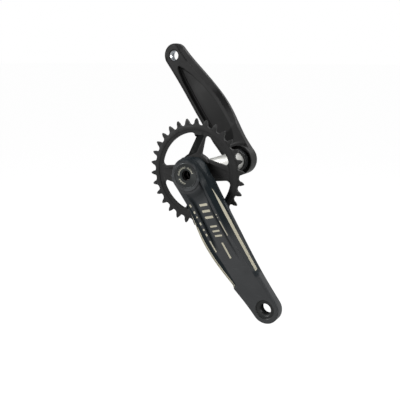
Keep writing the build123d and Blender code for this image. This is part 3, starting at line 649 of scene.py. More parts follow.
@dataclass
class CrankArm:
    """Forged arm with its boss, grooves, flank and inner pocket."""

    side: Side
    root_radius: float
    rise: float
    floor: float
    crest_floor: float
    finish: Finish
    node: str
    eye_radius: float = 16.3
    thickness: float = 12.0
    lead_bulge: float = 8.6
    trail_bulge: float = 2.6
    root_start: float = -12.0
    root_extra: float = 3.6
    floor_step: float = 1.8
    level_root: float = 0.12
    climb_end: float = 0.86
    crest_blend: float = 1.2
    bulge_at: float = 0.45
    panel_round_end: float = 44.0
    pocket_root: tuple[float, float] = (24.0, 54.0)
    pedal_hole: float = 7.14
    thread_depth: float = 0.5
    thread_pitch: float = 1.27
    outer_spans: tuple[int, ...] = (10, 9, 6, 4, 10, 10, 3, 6, 20)
    inner_spans: tuple[int, ...] = (4, 4, 12, 8, 8, 8, 6, 6)
    left_wall: float = 1.4
    right_wall: float = 0.9
    edge_bevel: float = 1.6
    rim_depth: float = 1.1
    rim_width: float = 1.4
    fillet_height: float = 2.4
    fillet_width: float = 4.0
    wall_swell: float = 0.28
    wall_spans: int = 9
    plain_shade: float = 0.0
    wall_facing: float = 0.2
    inner_facing: float = -0.12
    print_root_gap: float = 4.0
    print_end: float = 145.0

    # Where the spacing of the sections changes, and to what.
    station_spans: Line = (
        (4, 0.9), (23.4, 0.4), (31, 0.9), (127, 0.6), (145, 0.9), (157, 0.4), (160.6, 0.95))

    # The outer face's lines, each as (along, across) points.
    left_groove: Line = (
        (10, -15.5), (24, -13.3), (33, -12.3), (60, -12.1), (80, -12.7), (98, -13.0), (160, -10))
    right_groove: Line = (
        (4, 12.5), (24, 9.9), (32, 7.6), (56, 6.9), (72, 7.2), (90, 7.6), (119, 8.2), (160, 8.2))
    left_depth: Line = ((14, 0.6), (22, 2.4), (30, 3.0), (66, 2.9), (86, 1.8), (98, 0))
    right_depth: Line = ((4, 1.0), (14, 2.6), (26, 3.4), (60, 3.0), (90, 2.2), (108, 1.1), (120, 0))
    panel_depth: Line = (
        (19.5, 0.4), (22, 0.8), (28, 2.6), (32, 2.6), (44, 1.4), (60, 1.0), (95, 0.5), (118, 0))
    flank_line: Line = ((0, 18.9), (12, 15.8), (26, 12.0), (34, 11.2), (80, 11.4), (110, 12.6), (140, 13.2))
    flank_depth: Line = ((0, 3.6), (12, 5.0), (25, 5.9), (60, 5.9), (100, 5.2), (136, 4.6), (141.5, 0.2))
    flank_steep: Line = ((60, 0.72), (92, 0.5))
    lead_line: Line = (
        (14, -19.4), (32, -18.6), (40, -17.4), (56, -16.9), (88, -16.6), (100, -15.0), (112, -14.0),
        (137, -13.6), (150, -13.2))
    ledge_line: Line = (
        (14, -20.2), (40, -23.4), (48, -23.8), (64, -23.8), (80, -22.4), (96, -21.2), (112, -19.6),
        (120, -18.7), (137, -17.9), (150, -15.6))
    ledge_depth: Line = ((14, 0.8), (34, 2.4), (48, 3.2), (134, 3.0), (138.5, 0.1))

    # The inner face's lines.
    pocket_trail: Line = ((85, 15.2), (110, 13.9), (135, 11.4), (150, 8.6), (156, 6.6), (159, 4.6))
    pocket_lead: Line = ((85, 16), (110, 12.6), (135, 6.6), (150, 1.6), (156, -1.2), (159, -3.0))
    pocket_depth: Line = ((24, 0), (24.6, 3.5), (28, 5.8), (125, 6), (150, 5), (158.3, 3.2), (159.3, 0))
    inner_lead_width: Line = (
        (18, 1.2), (41, 1.4), (48, 5.2), (66, 5.8), (121, 6.2), (157, 5.4), (176, 4.6), (186, 1.6))
    inner_lead_depth: Line = (
        (18, 1.2), (41, 1.6), (50, 4.4), (70, 5.0), (150, 5.0), (176, 4.2), (186, 1.6))
    pocket_lead_wall: Line = ((0, 0), (0.7, 0.62), (2.6, 1.0))
    pocket_trail_wall: Line = ((0, 0), (1.0, 0.7), (1.6, 0.76), (3.4, 0.9), (3.8, 1.0))

    # How dark the painted shade and the two-tone paint are, by the distance along the arm or from the
    # pocket's rim.
    left_groove_shade: Line = ((18, 0.0), (26, 0.8), (78, 0.8), (98, 0.0))
    right_groove_shade: Line = ((4, 0.5), (22, 1.0), (64, 1.0), (110, 0.0))
    flank_lacquer_and_shade: Line = ((10, 0.95), (66, 0.95), (100, 0.15))
    lead_lacquer_and_shade: Line = ((18, 0.6), (30, 1.0), (110, 1.0), (136, 0.8), (138, 0.0))
    panel_root_darkening: Line = ((20, 0.4), (48, 0.28), (92, 0.0))
    inner_flange_shade: Line = ((56, 0.85), (72, 1.4), (90, 1.45), (106, 0.85), (147, 0.7))
    pocket_wall_shade: Line = (
        (0.2, 1.0), (1.7, 1.0), (2.1, 0.75), (3.3, 0.7), (3.5, 1.0), (3.9, 1.0), (4.4, 0.0))
    pocket_floor_shade: Line = ((24, 1.0), (27, 0.88), (64, 0.84), (92, 0.66), (118, 0.36), (150, 0.4))

    # The print's lines and half widths.
    flank_print: Line = ((30, 0.62), (50, 0.68), (90, 0.74), (134, 0.74))
    flank_print_half: Line = (
        (27, 0.05), (34, 0.45), (46, 1.2), (58, 1.6), (76, 1.5), (95, 1.3), (134, 1.0))
    edge_print_half: Line = ((40, 0.1), (50, 0.8), (130, 0.75), (137, 0.4))
    second_print_half: Line = ((50, 0.05), (62, 0.65), (128, 0.6), (136, 0.3))
    ridge_print: Line = ((28, -17.2), (48, -15.9), (64, -15.2), (96, -14.4))

    def __post_init__(self) -> None:
        """Set up the arm's axes."""
        self.axes = ArmAxes(self.side)

    # -- outline
    def climb(self, x: float) -> float:
        """How much of the outward climb is still to come."""
        return max(0.0, 1 - max(x / CRANK_LENGTH, self.level_root) / self.climb_end) ** 2

    def crest(self, x: float) -> float:
        """Height of the outer face's highest line."""
        return smooth_max(PEDAL_FACE - self.rise * self.climb(x), self.crest_floor, self.crest_blend)

    def back(self, x: float) -> float:
        """Height of the inner face."""
        climbing = PEDAL_FACE - self.thickness - (self.rise + self.root_extra) * self.climb(x)
        return max(climbing, self.floor + self.floor_step)

    def reach(self, x: float) -> tuple[float, float]:
        """Leading and trailing half widths at a distance along the arm."""
        share = x / CRANK_LENGTH
        if x < 0:
            half = math.sqrt(self.root_radius ** 2 - x * x)
            return half, half
        if share > 1:
            half = math.sqrt(max(0.0, self.eye_radius ** 2 - (x - CRANK_LENGTH) ** 2))
            return half, half
        span = self.bulge_at if share < self.bulge_at else 1 - self.bulge_at
        bulge = math.cos(math.pi / 2 * min(1.0, abs(share - self.bulge_at) / span)) ** 2
        taper = self.root_radius + (self.eye_radius - self.root_radius) * share
        return taper + self.lead_bulge * bulge, taper + self.trail_bulge * bulge

    def edge_gap(self, x: float, v: float) -> tuple[float, float]:
        """Distances to the trailing and the leading edge, measured round the eye at the tip."""
        if x > CRANK_LENGTH:
            gap = self.eye_radius - math.hypot(x - CRANK_LENGTH, v)
            return max(0.0, gap), max(0.0, gap)
        lead, trail = self.reach(x)
        return max(0.0, trail - v), max(0.0, v + lead)

    # -- outer face
    def drop(self, x: float, v: float) -> float:
        """Depth of the outer face below its highest line."""
        gap = min(self.edge_gap(x, v))
        rim = self.rim_depth * fade(gap, self.rim_width, 1.3)
        sides = max(self.flank_drop(x, v), self.ledge_drop(x, v)) if x < CRANK_LENGTH else 0.0
        return self.panel_drop(x, v) + sides + rim

    def panel_drop(self, x: float, v: float) -> float:
        """Depth of the centre panel and of the two grooves beside it."""
        left, right = follow(self.left_groove, x), follow(self.right_groove, x)
        deep_left, deep_right = follow(self.left_depth, x), follow(self.right_depth, x)
        if v < left:
            return deep_left * fade(left - v, self.left_wall, 1.2)
        if v > right:
            return deep_right * fade(v - right, self.right_wall, 1.2)
        panel = follow(self.panel_depth, x if x > self.panel_round_end else math.hypot(x, 0.95 * v))
        from_left = fade(v - left, 5.0, 2)
        from_right = 0.78 * fade(right - v, 2.5, 1.2) + 0.22 * fade(right - v, 6.0, 2)
        return panel + (deep_left - panel) * from_left + (deep_right - panel) * from_right

    def flank_drop(self, x: float, v: float) -> float:
        """Depth of the trailing flank, which is steep first and then gentler."""
        line, trail = follow(self.flank_line, x), self.reach(x)[1]
        share = clamp((v - line) / max(0.1, trail - line))
        steep = ((0.0, 0.0), (0.46, follow(self.flank_steep, x)), (1.0, 1.0))
        trail_gap = self.edge_gap(x, v)[0]
        return follow(self.flank_depth, x + 1.2 * min(trail_gap, 5.6)) * self.between(steep, share)

    def ledge_drop(self, x: float, v: float) -> float:
        """Depth of the leading ledge, behind its step."""
        line, ledge = follow(self.lead_line, x), follow(self.ledge_line, x)
        fall = 0.72 * clamp((line - v) / 1.3) + 0.28 * clamp((line - v) / (line - ledge))
        return follow(self.ledge_depth, x) * (fall + 0.16 * clamp((ledge - v) / 3.0))

    @staticmethod
    def between(points: Profile, place: float) -> float:
        """Value of a straight-sided line through points at a place."""
        for (x0, y0), (x1, y1) in zip(points, points[1:]):
            if place <= x1:
                return y0 + (y1 - y0) * (place - x0) / (x1 - x0)
        return points[-1][1]

    def squeeze(self, x: float) -> float:
        """Share by which lines draw together round the eye and inside the boss."""
        if x < 0:
            return self.reach(x)[0] / self.root_radius
        return 1.0 if x <= CRANK_LENGTH else self.reach(x)[0] / self.eye_radius

    def outer_lines(self, x: float) -> list[float]:
        """Places across the arm of the outer face's main lines, from the leading to the trailing edge."""
        lead, trail = self.reach(x)
        tight = self.squeeze(x)
        ledge, line, left, right, flank = (follow(points, x) * tight for points in (
            self.ledge_line, self.lead_line, self.left_groove, self.right_groove, self.flank_line))
        ledge = max(ledge, -lead + 0.4 * tight)
        return [-lead, ledge, line, left - self.left_wall * tight, left, (left + right) / 2, right,
                right + self.right_wall * tight, min(flank, trail - 0.5 * tight), trail]

    # -- inner face
    def pocket(self, x: float) -> tuple[float, float]:
        """Places across the arm of the pocket's leading and trailing rims."""
        tight = self.squeeze(x)
        start, full = self.pocket_root
        if x < full:
            share = math.sqrt(max(0.01, 1 - ((full - x) / (full - start)) ** 2)) if x > start else 0.1
            return -self.pocket_lead[0][1] * share, self.pocket_trail[0][1] * share
        return -follow(self.pocket_lead, x) * tight, follow(self.pocket_trail, x) * tight

    def hollow(self, x: float, v: float) -> float:
        """Depth of the inner pocket at a place."""
        low, high = self.pocket(x)
        if v <= low or v >= high:
            return 0.0
        walls = min(follow(self.pocket_lead_wall, v - low), follow(self.pocket_trail_wall, high - v))
        return follow(self.pocket_depth, x) * walls

    def inner_lines(self, x: float) -> list[float]:
        """Places across the arm of the inner face's main lines, from the trailing to the leading edge."""
        lead, trail = self.reach(x)
        low, high = self.pocket(x)
        high = min(high, 0.86 * trail)
        bevel = min(follow(self.inner_lead_width, x), 0.35 * lead)
        low = max(low, -lead + bevel + 0.4 * self.squeeze(x))
        wall, edge = min(4.2, (high - low) * 0.3), min(2.6, (high - low) * 0.3)
        return [trail, trail - min(1.5, 0.2 * trail), high, high - wall, (low + high) / 2, low + edge, low,
                -lead + bevel, -lead]

    def inner_rise(self, x: float, v: float) -> float:
        """How far the inner face is cut back outward at a place, by bevels, pocket and boss fillet."""
        trail_gap, lead_gap = self.edge_gap(x, v)
        leading = 1.0 if x <= CRANK_LENGTH else clamp(0.5 - v / self.eye_radius)
        bevel = self.edge_bevel + (follow(self.inner_lead_width, x) - self.edge_bevel) * leading
        depth = self.edge_bevel + (follow(self.inner_lead_depth, x) - self.edge_bevel) * leading
        cut = depth * fade(lead_gap, bevel, 1.05)
        cut = max(cut, self.edge_bevel * fade(trail_gap, self.edge_bevel, 1))
        fillet = self.fillet_height * fade(math.hypot(x, v) - self.root_radius, self.fillet_width, 2)
        return cut + self.hollow(x, v) - fillet

    # -- skin
    def section(self, x: float) -> list[tuple[float, float]]:
        """Closed section of (v, h) points: outer face, trailing wall, inner face, leading wall."""
        crest, back = self.crest(x), self.back(x)
        lead, trail = self.reach(x)
        outer = [crest - self.drop(x, v) for v in (trail, -lead)]
        inner = [back + self.inner_rise(x, v) for v in (trail, -lead)]
        points = [(v, crest - self.drop(x, v)) for v in self.spread(self.outer_lines(x), self.outer_spans)]
        points += self.wall(x, trail, outer[0], inner[0])
        points += [(v, back + self.inner_rise(x, v))
                   for v in self.spread(self.inner_lines(x), self.inner_spans)]
        return points + self.wall(x, -lead, inner[1], outer[1])

    @staticmethod
    def spread(lines: Sequence[float], spans: Sequence[int]) -> list[float]:
        """Places from line to line, each stretch cut in its number of spans."""
        return [first + (second - first) * step / count
                for first, second, count in zip(lines, lines[1:], spans) for step in range(count)]

    def wall(self, x: float, v: float, start: float, end: float) -> list[tuple[float, float]]:
        """Points of the slightly swollen side wall at a place across the arm, between two heights."""
        swell = math.copysign(self.wall_swell * ease(0, 20, x) * clamp(abs(v) / 6), v)
        shares = [step / self.wall_spans for step in range(self.wall_spans)]
        return [(v + swell * math.sin(math.pi * share), start + (end - start) * share) for share in shares]

    def stations(self) -> list[float]:
        """Distances along the arm at which a section is taken."""
        fine = [self.root_start, -6.0, -2.0, 2.0]
        ends = [start for start, _ in self.station_spans[1:]] + [CRANK_LENGTH - 0.4]
        for (start, step), following in zip(self.station_spans, ends):
            count = round((following - start) / step)
            fine += [start + (following - start) * place / count for place in range(count)]
        turn = [math.pi / 2 * place / 30 for place in range(31)]
        return fine + [CRANK_LENGTH + self.eye_radius * math.sin(angle) for angle in turn]

    def skin(self) -> Mesh:
        """Arm's closed skin, from a flat grid rolled round its sections."""
        places = self.stations()
        rows = sum(self.outer_spans) + sum(self.inner_spans) + 2 * self.wall_spans
        bm = bmesh.new()
        bmesh.ops.create_grid(bm, x_segments=len(places) - 1, y_segments=rows, size=1.0)
        stripe = bm.verts.layers.float.new(STRIPE)
        sections = [self.section(x) for x in places]
        marks = self.marks()
        for vert in bm.verts:
            station = round((vert.co.x + 1) / 2 * (len(places) - 1))
            row = round((vert.co.y + 1) / 2 * rows) % rows
            x, (v, height) = places[station], sections[station][row]
            vert.co = self.axes.place(x, v, height)
            if row <= sum(self.outer_spans):
                vert[stripe] = clamp(1 + max(mark.depth_inside(x, v) for mark in marks), 0.0, 2.0)
        bmesh.ops.remove_doubles(bm, verts=bm.verts, dist=WELD)
        bmesh.ops.dissolve_degenerate(bm, edges=bm.edges, dist=WELD)
        root_loop = [edge for edge in bm.edges if edge.is_boundary]
        bmesh.ops.holes_fill(bm, edges=root_loop, sides=0)
        bmesh.ops.recalc_face_normals(bm, faces=bm.faces)
        return bm

    # -- printed marks
    def marks(self) -> list[Mark]:
        """Plain printed bars: the flank stripe, the edge line, the ridge dashes and the panel bars."""
        def flank_middle(x: float) -> float:
            """Middle of the flank's stripe, as a share of the flank's width."""
            line = follow(self.flank_line, x)
            return line + follow(self.flank_print, x) * (self.reach(x)[1] - line)

        flank = Mark(27, 134.0, flank_middle, lambda x: follow(self.flank_print_half, x), slant=-0.5)
        line = Mark(40, 137.5, lambda x: 1.0 - self.reach(x)[0], lambda x: follow(self.edge_print_half, x))
        second = Mark(50, 136.5, lambda x: 2.9 - self.reach(x)[0],
                      lambda x: follow(self.second_print_half, x))
        dashes = [Mark(start, end, lambda x: follow(self.ridge_print, x), lambda x, half=half: half)
                  for start, end, half in ((29.5, 33, 1.0), (39, 42, 1.0), (46, 48, 0.9), (54, 57.4, 1.0),
                                           (62.5, 65, 1.0), (69, 72, 1.0), (78, 93, 0.7))]
        ticks = [Mark(start, end, lambda x: follow(self.right_groove, x) + 2.4, lambda x: 0.5)
                 for start, end in ((57, 59), (61, 62.4), (66, 85))]
        bars = [Mark(start, start + thick, lambda x: PANEL_MIDDLE, lambda x, half=half: half, slant=0.42)
                for start, thick, half in ((38, 3.0, 5.2), (46, 3.0, 5.2), (54, 3.0, 5.2), (66, 2.2, 4.4),
                                           (72, 2.2, 4.4), (78, 2.2, 4.4))]
        spine = Mark(88, 108, lambda x: PANEL_MIDDLE, lambda x: 1.1, slant=0.42)
        return [flank, line, second, *dashes, *ticks, *bars, spine]

    # -- boss and bores
    def boss(self) -> Mesh:
        """Boss round the spindle, with the ring that holds the cap or the collar."""
        return lathe(DRIVE_BOSS if self.side is Side.DRIVE else LEFT_BOSS, self.axes, steps=BOSS_STEPS)

    def bores(self) -> Mesh:
        """Stepped cutter of the boss."""
        profile = DRIVE_BORES if self.side is Side.DRIVE else LEFT_BORES
        return lathe(profile, self.axes, steps=BOSS_STEPS, solid=True)

    def thread(self) -> Mesh:
        """Cutter of the pedal thread: a hole with a saw-tooth wall."""
        inner, outer = self.back(CRANK_LENGTH) - 4, PEDAL_FACE + 4
        count = round((outer - inner) / self.thread_pitch)
        profile = [(0, inner), (self.pedal_hole, inner)]
        for turn in range(1, count):
            base = inner + turn * self.thread_pitch
            profile += [(self.pedal_hole - self.thread_depth, base),
                        (self.pedal_hole, base + self.thread_pitch / 2)]
        profile += [(self.pedal_hole, outer), (0, outer)]
        return lathe(profile, self.axes, CRANK_LENGTH, solid=True)

    def eye_seat(self) -> Mesh:
        """Cutter of the shallow seat and the chamfers round the pedal hole."""
        if self.side is Side.DRIVE:
            profile = [(0, PEDAL_FACE - 2.0), (7.2, PEDAL_FACE - 2.0), (8.1, PEDAL_FACE - 1.2),
                       (10.5, PEDAL_FACE - 1.2), (10.8, PEDAL_FACE - 0.9), (10.8, PEDAL_FACE - 0.35),
                       (11.3, PEDAL_FACE + 0.1), (11.3, PEDAL_FACE + 3), (0, PEDAL_FACE + 3)]
        else:
            face = self.back(CRANK_LENGTH)
            profile = [(0, face - 3), (8.6, face - 3), (8.6, face - 0.02), (7.5, face + 0.9),
                       (0, face + 0.9)]
        return lathe(profile, self.axes, CRANK_LENGTH, solid=True)

    def build(self, shop: Workshop) -> Piece:
        """Make the arm and let it stand for its CAD node."""
        arm = shop.dress(finish_mesh(self.skin(), self.node + "_forging"), self.finish)
        boss = shop.dress(finish_mesh(self.boss(), "boss"), self.finish)
        cut_or_join(arm, boss, "UNION")
        # The drive eye's seat takes the black thread finish as painted shade in its recess.
        bore, seat = (DARK_THREAD_AND_SEAT_SHADE, DARK_THREAD_AND_SEAT_SHADE) if self.side is Side.DRIVE else (BARE_THREAD, self.finish)
        for cutter, finish in ((self.bores(), self.finish), (self.eye_seat(), seat), (self.thread(), bore)):
            tool = shop.dress(finish_mesh(cutter, "cutter"), finish)
            cut_or_join(arm, tool, "DIFFERENCE")
        self.paint(arm)
        soften(arm)
        settle_normals(arm)
        return shop.deliver(arm, self.node)

    def lacquer_and_shade(self, x: float, v: float, outward: float) -> float:
        """How dark the painted shade and the two-tone paint are, from 0 to 1, where the surface faces
        outward by that much, -1 to 1.
        """
        radius = math.hypot(x, v)
        if outward < self.inner_facing:
            return self.inner_lacquer_and_shade(x, v)
        if outward < self.wall_facing:
            # Painted shade: the trailing wall is dark as far as the eye, and darkest at the boss.
            wall = max(0.85 * ease(140.0, 134.0, x), 0.98 * ease(20.0, 14.0, x))
            return max(self.plain_shade, wall * ease(-8.0, 4.0, v))
        if radius < self.root_radius + 0.6:
            # Painted shade: the boss darkens round its trailing side, outside the cap.
            turn = ease(-2.0, 12.0, v - 0.35 * x)
            rim = ease(self.root_radius - 5.5, self.root_radius - 3.0, radius)
            return max(self.plain_shade, 0.85 * turn * rim)
        if x < 0:
            return self.plain_shade
        left, right = follow(self.left_groove, x), follow(self.right_groove, x)
        # Painted shade in the two grooves.
        grooves = max(ease(2.9, 1.7, abs(v - left - 0.9)) * follow(self.left_groove_shade, x),
                      ease(1.5, 0.8, abs(v - right + 0.1)) * follow(self.right_groove_shade, x))
        # Darker two-tone paint and painted shade on the trailing flank and on the leading band behind its
        # step.
        flank = ease(-0.3, 0.5, v - follow(self.flank_line, x)) * follow(self.flank_lacquer_and_shade, x)
        lead = ease(0.3, -0.5, v - follow(self.lead_line, x)) * follow(self.lead_lacquer_and_shade, x)
        # Painted shade in the scoop in the trailing edge, just before the eye.
        scoop = 0.8 * ease(11.8, 14.5, v) * ease(131.0, 135.0, x - 0.5 * (v - 15)) * ease(143.0, 138.0, x)
        # The panel is darker towards the root.
        panel = follow(self.panel_root_darkening, x)
        return max(self.plain_shade, panel, grooves, flank, lead, scoop)

    def inner_lacquer_and_shade(self, x: float, v: float) -> float:
        """How dark the painted shade is on the inner face, over the arm's plain darkness: darkest in the
        pocket's corners and along the edge.
        """
        # Painted shade at the fillet round the boss, in a line along the edge and in a line where the
        # leading bevel ends.
        near_boss = 0.9 * ease(self.root_radius + 6.0, self.root_radius + 2.5, math.hypot(x, v))
        trail_gap, lead_gap = self.edge_gap(x, v)
        gap = trail_gap if x < CRANK_LENGTH or v > 0 else self.eye_radius
        edge = max(ease(2.4, 1.4, gap), 0.8 * ease(5.0, 4.0, gap) * ease(164, 150, x)) * ease(16, 22, x)
        bevel_line = ease(0.7, 0.35, abs(lead_gap - follow(self.inner_lead_width, x))) * ease(150, 158, x)
        # Painted shade on the leading flange, darkest near its middle.
        if v < 0 and lead_gap < follow(self.inner_lead_width, x) and 40 < x < CRANK_LENGTH:
            return max(self.plain_shade * follow(self.inner_flange_shade, x), bevel_line)
        low, high = self.pocket(x)
        if not 23.0 < x < 159.0 or not low - 0.6 < v < high + 0.3:
            return max(self.plain_shade, edge, bevel_line, near_boss)
        # Painted shade on the pocket's trailing wall, along its leading rim and on its floor, darkest
        # towards the root.
        wall = follow(self.pocket_wall_shade, high - v)
        line = ease(2.4, 1.5, abs(v - low - 0.5))
        floor = follow(self.pocket_floor_shade, x)
        side = 0.35 * ease(12.0, 4.0, high - v)
        return clamp(max(wall, line, min(1.0, floor + side * (1 - floor))))

    def paint(self, arm: Piece) -> None:
        """Set the finished arm's painted shade and two-tone paint, and take the print off its boss and its
        eye.
        """
        stripe = arm.data.attributes[STRIPE].data
        shade = arm.data.attributes.new(SHADE, "FLOAT", "POINT").data
        for vert, printed, dark in zip(arm.data.vertices, stripe, shade):
            place = vert.co / MM * self.side.value
            x, v = place.dot(ALONG), place.dot(ACROSS)
            if math.hypot(x, v) < self.root_radius + self.print_root_gap or x > self.print_end:
                printed.value = 0.0
            dark.value = self.lacquer_and_shade(x, v, -vert.normal.y * self.side.value)


# ------------------------------------------------------------------ chainring
RING_STEPS = 180


@dataclass
class Chainring:
    """Single narrow-wide chainring with dished spokes."""

    axes: ArmAxes = ArmAxes(Side.DRIVE)
    face: float = 50.1
    back: float = 45.9
    main_spoke: float = 69.0
    main_rim: float = 54.0
    side_spoke: float = 156.0
    side_rim: float = 130.0
    rounding: float = 0.22

    def polar(self, radius: float, angle: float) -> tuple[float, float]:
        """Arm coordinates of a place at a radius and an angle from the drive arm, in degrees."""
        return radius * math.cos(math.radians(angle)), radius * math.sin(math.radians(angle))

    def tooth_taper(self, outward: int) -> Mesh:
        """Ring cutter that thins the teeth towards their tips, on the outer (1) or inner (-1) face."""
        middle = (self.face + self.back) / 2
        corners = ((58.6, 1.86), (62.2, 1.15), (65.5, 0.42), (65.5, 5), (58.6, 5))
        profile = [(radius, middle + outward * half) for radius, half in corners]
        return lathe(profile, self.axes, steps=RING_STEPS)

    def rim_step(self) -> Mesh:
        """Ring cutter of the shallow step in the rim's outer face."""
        profile = [(46.0, self.face - 0.55), (51.2, self.face - 0.55), (51.9, self.face + 0.1),
                   (51.9, self.face + 2), (46.0, self.face + 2)]
        return lathe(profile, self.axes, steps=RING_STEPS)

    def main_dish(self, turn: float) -> Mesh:
        """Cutter of the tapering recess in a broad spoke, deepest at the hub."""
        hub, rim = self.main_spoke + turn, self.main_rim + turn
        corners = [self.polar(20.5, hub + 30), self.polar(20.5, hub - 32),
                   self.polar(46.4, rim - 5.0), self.polar(46.4, rim + 3.4)]
        depths = (self.back + 1.6, self.back + 1.8, self.face - 0.1, self.face - 0.3)
        return wedge(corners, depths, self.face + 4, self.axes)

    def side_dish(self, turn: float) -> Mesh:
        """Cutter of the slanted facet on one flank of a narrow spoke."""
        hub, rim = self.side_spoke + turn, self.side_rim + turn
        corners = [self.polar(23.5, hub + 38), self.polar(24.6, hub - 20),
                   self.polar(46.9, rim - 5.0), self.polar(45.5, rim + 9)]
        depths = (self.back + 0.9, self.face - 1.5, self.face - 0.3, self.face - 2.3)
        return wedge(corners, depths, self.face + 4, self.axes)

    def build(self, shop: Workshop) -> Piece:
        """Make the chainring and let it stand for its CAD node."""
        ring = shop.dress(refined_node("chainring"), RING_ANODISED)
        turned = (self.tooth_taper(1), self.tooth_taper(-1), self.rim_step())
        cutters = [(cutter, RING_ANODISED) for cutter in turned]
        for turn in (0.0, 180.0):
            # The side facets take the painted shade.
            cutters += [(self.main_dish(turn), RING_ANODISED), (self.side_dish(turn), RING_DISH_SHADE)]
        for cutter, finish in cutters:
            cut_or_join(ring, shop.dress(finish_mesh(cutter, "cutter"), finish), "DIFFERENCE")
        round_edges(ring, self.rounding)
        return shop.deliver(ring, "chainring")


# ------------------------------------------------------------------ cap and hardware
@dataclass
class ExtractorCap:
    """Turned cap round the bolt, with plain printed graduation."""

    axes: ArmAxes = ArmAxes(Side.DRIVE)
    radius: float = 14.88
    face: float = 71.3
    back: float = 68.12
    hole: float = 5.95
    steps: int = 288
    arcs: tuple[tuple[int, int], ...] = ((72, 128), (146, 236), (262, 318))
    arc_inner: float = 8.7
    arc_outer: float = 9.2
    tick_outer: float = 10.9
    tick_half: float = 0.3
    tick_angle: int = 8

    def printed(self, radius: float, angle: float) -> float:
        """How far inside the printed graduation a place lies, in millimetres; the angle is in degrees."""
        best = -1.0
        for start, end in self.arcs:
            middle, half = math.radians((start + end) / 2), math.radians((end - start) / 2)
            turn = (math.radians(angle) - middle + math.pi) % (2 * math.pi) - math.pi
            past = radius - self.arc_inner
            best = max(best, min(self.arc_outer - radius, past, (half - abs(turn)) * radius))
            for tick in range(start, end + 1, self.tick_angle):
                offset = (math.radians(angle - tick) + math.pi) % (2 * math.pi) - math.pi
                even = (tick - start) % (2 * self.tick_angle) == 0
                tip = self.tick_outer if even else self.tick_outer - 0.9
                best = max(best, min(self.tick_half - abs(offset) * radius, tip - radius, past))
        return best

    def build(self, shop: Workshop) -> Piece:
        """Make the cap and let it stand for its CAD node."""
        dish = [(self.radius - 0.9 - step * 0.3, self.face - 0.12 - 0.018 * step) for step in range(24)]
        profile = [(self.hole, self.back), (self.radius, self.back), (self.radius, self.face - 0.55),
                   (self.radius - 0.3, self.face - 0.12), (self.radius - 0.62, self.face), *dish,
                   (self.hole + 0.75, self.face - 0.55), (self.hole, self.face - 1.25)]
        bm = lathe(profile, self.axes, steps=self.steps)
        stripe = bm.verts.layers.float.new(STRIPE)
        for vert in bm.verts:
            place = vert.co / MM
            x, v = place.dot(ALONG), place.dot(ACROSS)
            if -place.y > self.face - 0.8 and math.hypot(x, v) < self.radius - 0.8:
                inside = self.printed(math.hypot(x, v), math.degrees(math.atan2(v, x)))
                vert[stripe] = clamp(1 + inside, 0.0, 2.0)
        cap = shop.dress(finish_mesh(bm, "extractor_cap_turned"), TURNED_CAP)
        return shop.deliver(cap, "extractor_cap")


@dataclass
class Hardware:
    """Spindle and small parts: they keep their exact shape, with rounded edges and their own finish."""

    rounded: tuple[tuple[str, Finish, float], ...] = (
        ("spindle", GROUND_STEEL, 0.12), ("crank_bolt", DARK_STEEL, 0.25),
        ("chainring_lockring", COLLAR_BLACK, 0.3), ("preload_adjuster", COLLAR_BLACK, 0.3),
        ("thrust_washer", BLACK_WASHER, 0.2), ("pinch_screw", DARK_STEEL, 0.12),
        ("left_end_plug", MOULDED_PLASTIC, 0.25), ("lockring_washer", PLAIN_ALUMINIUM, 0.1),
        ("bolt_washer", PLAIN_STEEL, 0.1), ("extractor_glide_ring", GLIDE_PLASTIC, 0.08),
        ("drive_seal_ring", SOFT_RUBBER, 0.3), ("plug_ring", SOFT_RUBBER, 0.3),
        ("spindle_retaining_ring", SPRING_STEEL, 0.12))
    bolt_clearance: float = 0.2

    def build(self, shop: Workshop) -> None:
        """Make every part and let it stand for its CAD node."""
        for node, finish, width in self.rounded:
            piece = shop.dress(refined_node(node), finish)
            round_edges(piece, width)
            if node == "bolt_washer":
                open_bore(piece, self.bolt_clearance)
            shop.deliver(piece, node)


# ------------------------------------------------------------------ studio
@dataclass
class Lamp:
    """Soft square lamp aimed at the crankset."""

    name: str
    place: tuple[float, float, float]
    size: float
    watts: float

    def build(self) -> None:
        """Hang the lamp."""
        data = bpy.data.lights.new(self.name, "AREA")
        data.shape = "SQUARE"
        data.size = self.size
        data.energy = self.watts
        lamp = bpy.data.objects.new(self.name, data)
        lamp.location = self.place
        lamp.rotation_euler = (-Vector(self.place)).to_track_quat("-Z", "Y").to_euler()
        bpy.context.scene.collection.objects.link(lamp)


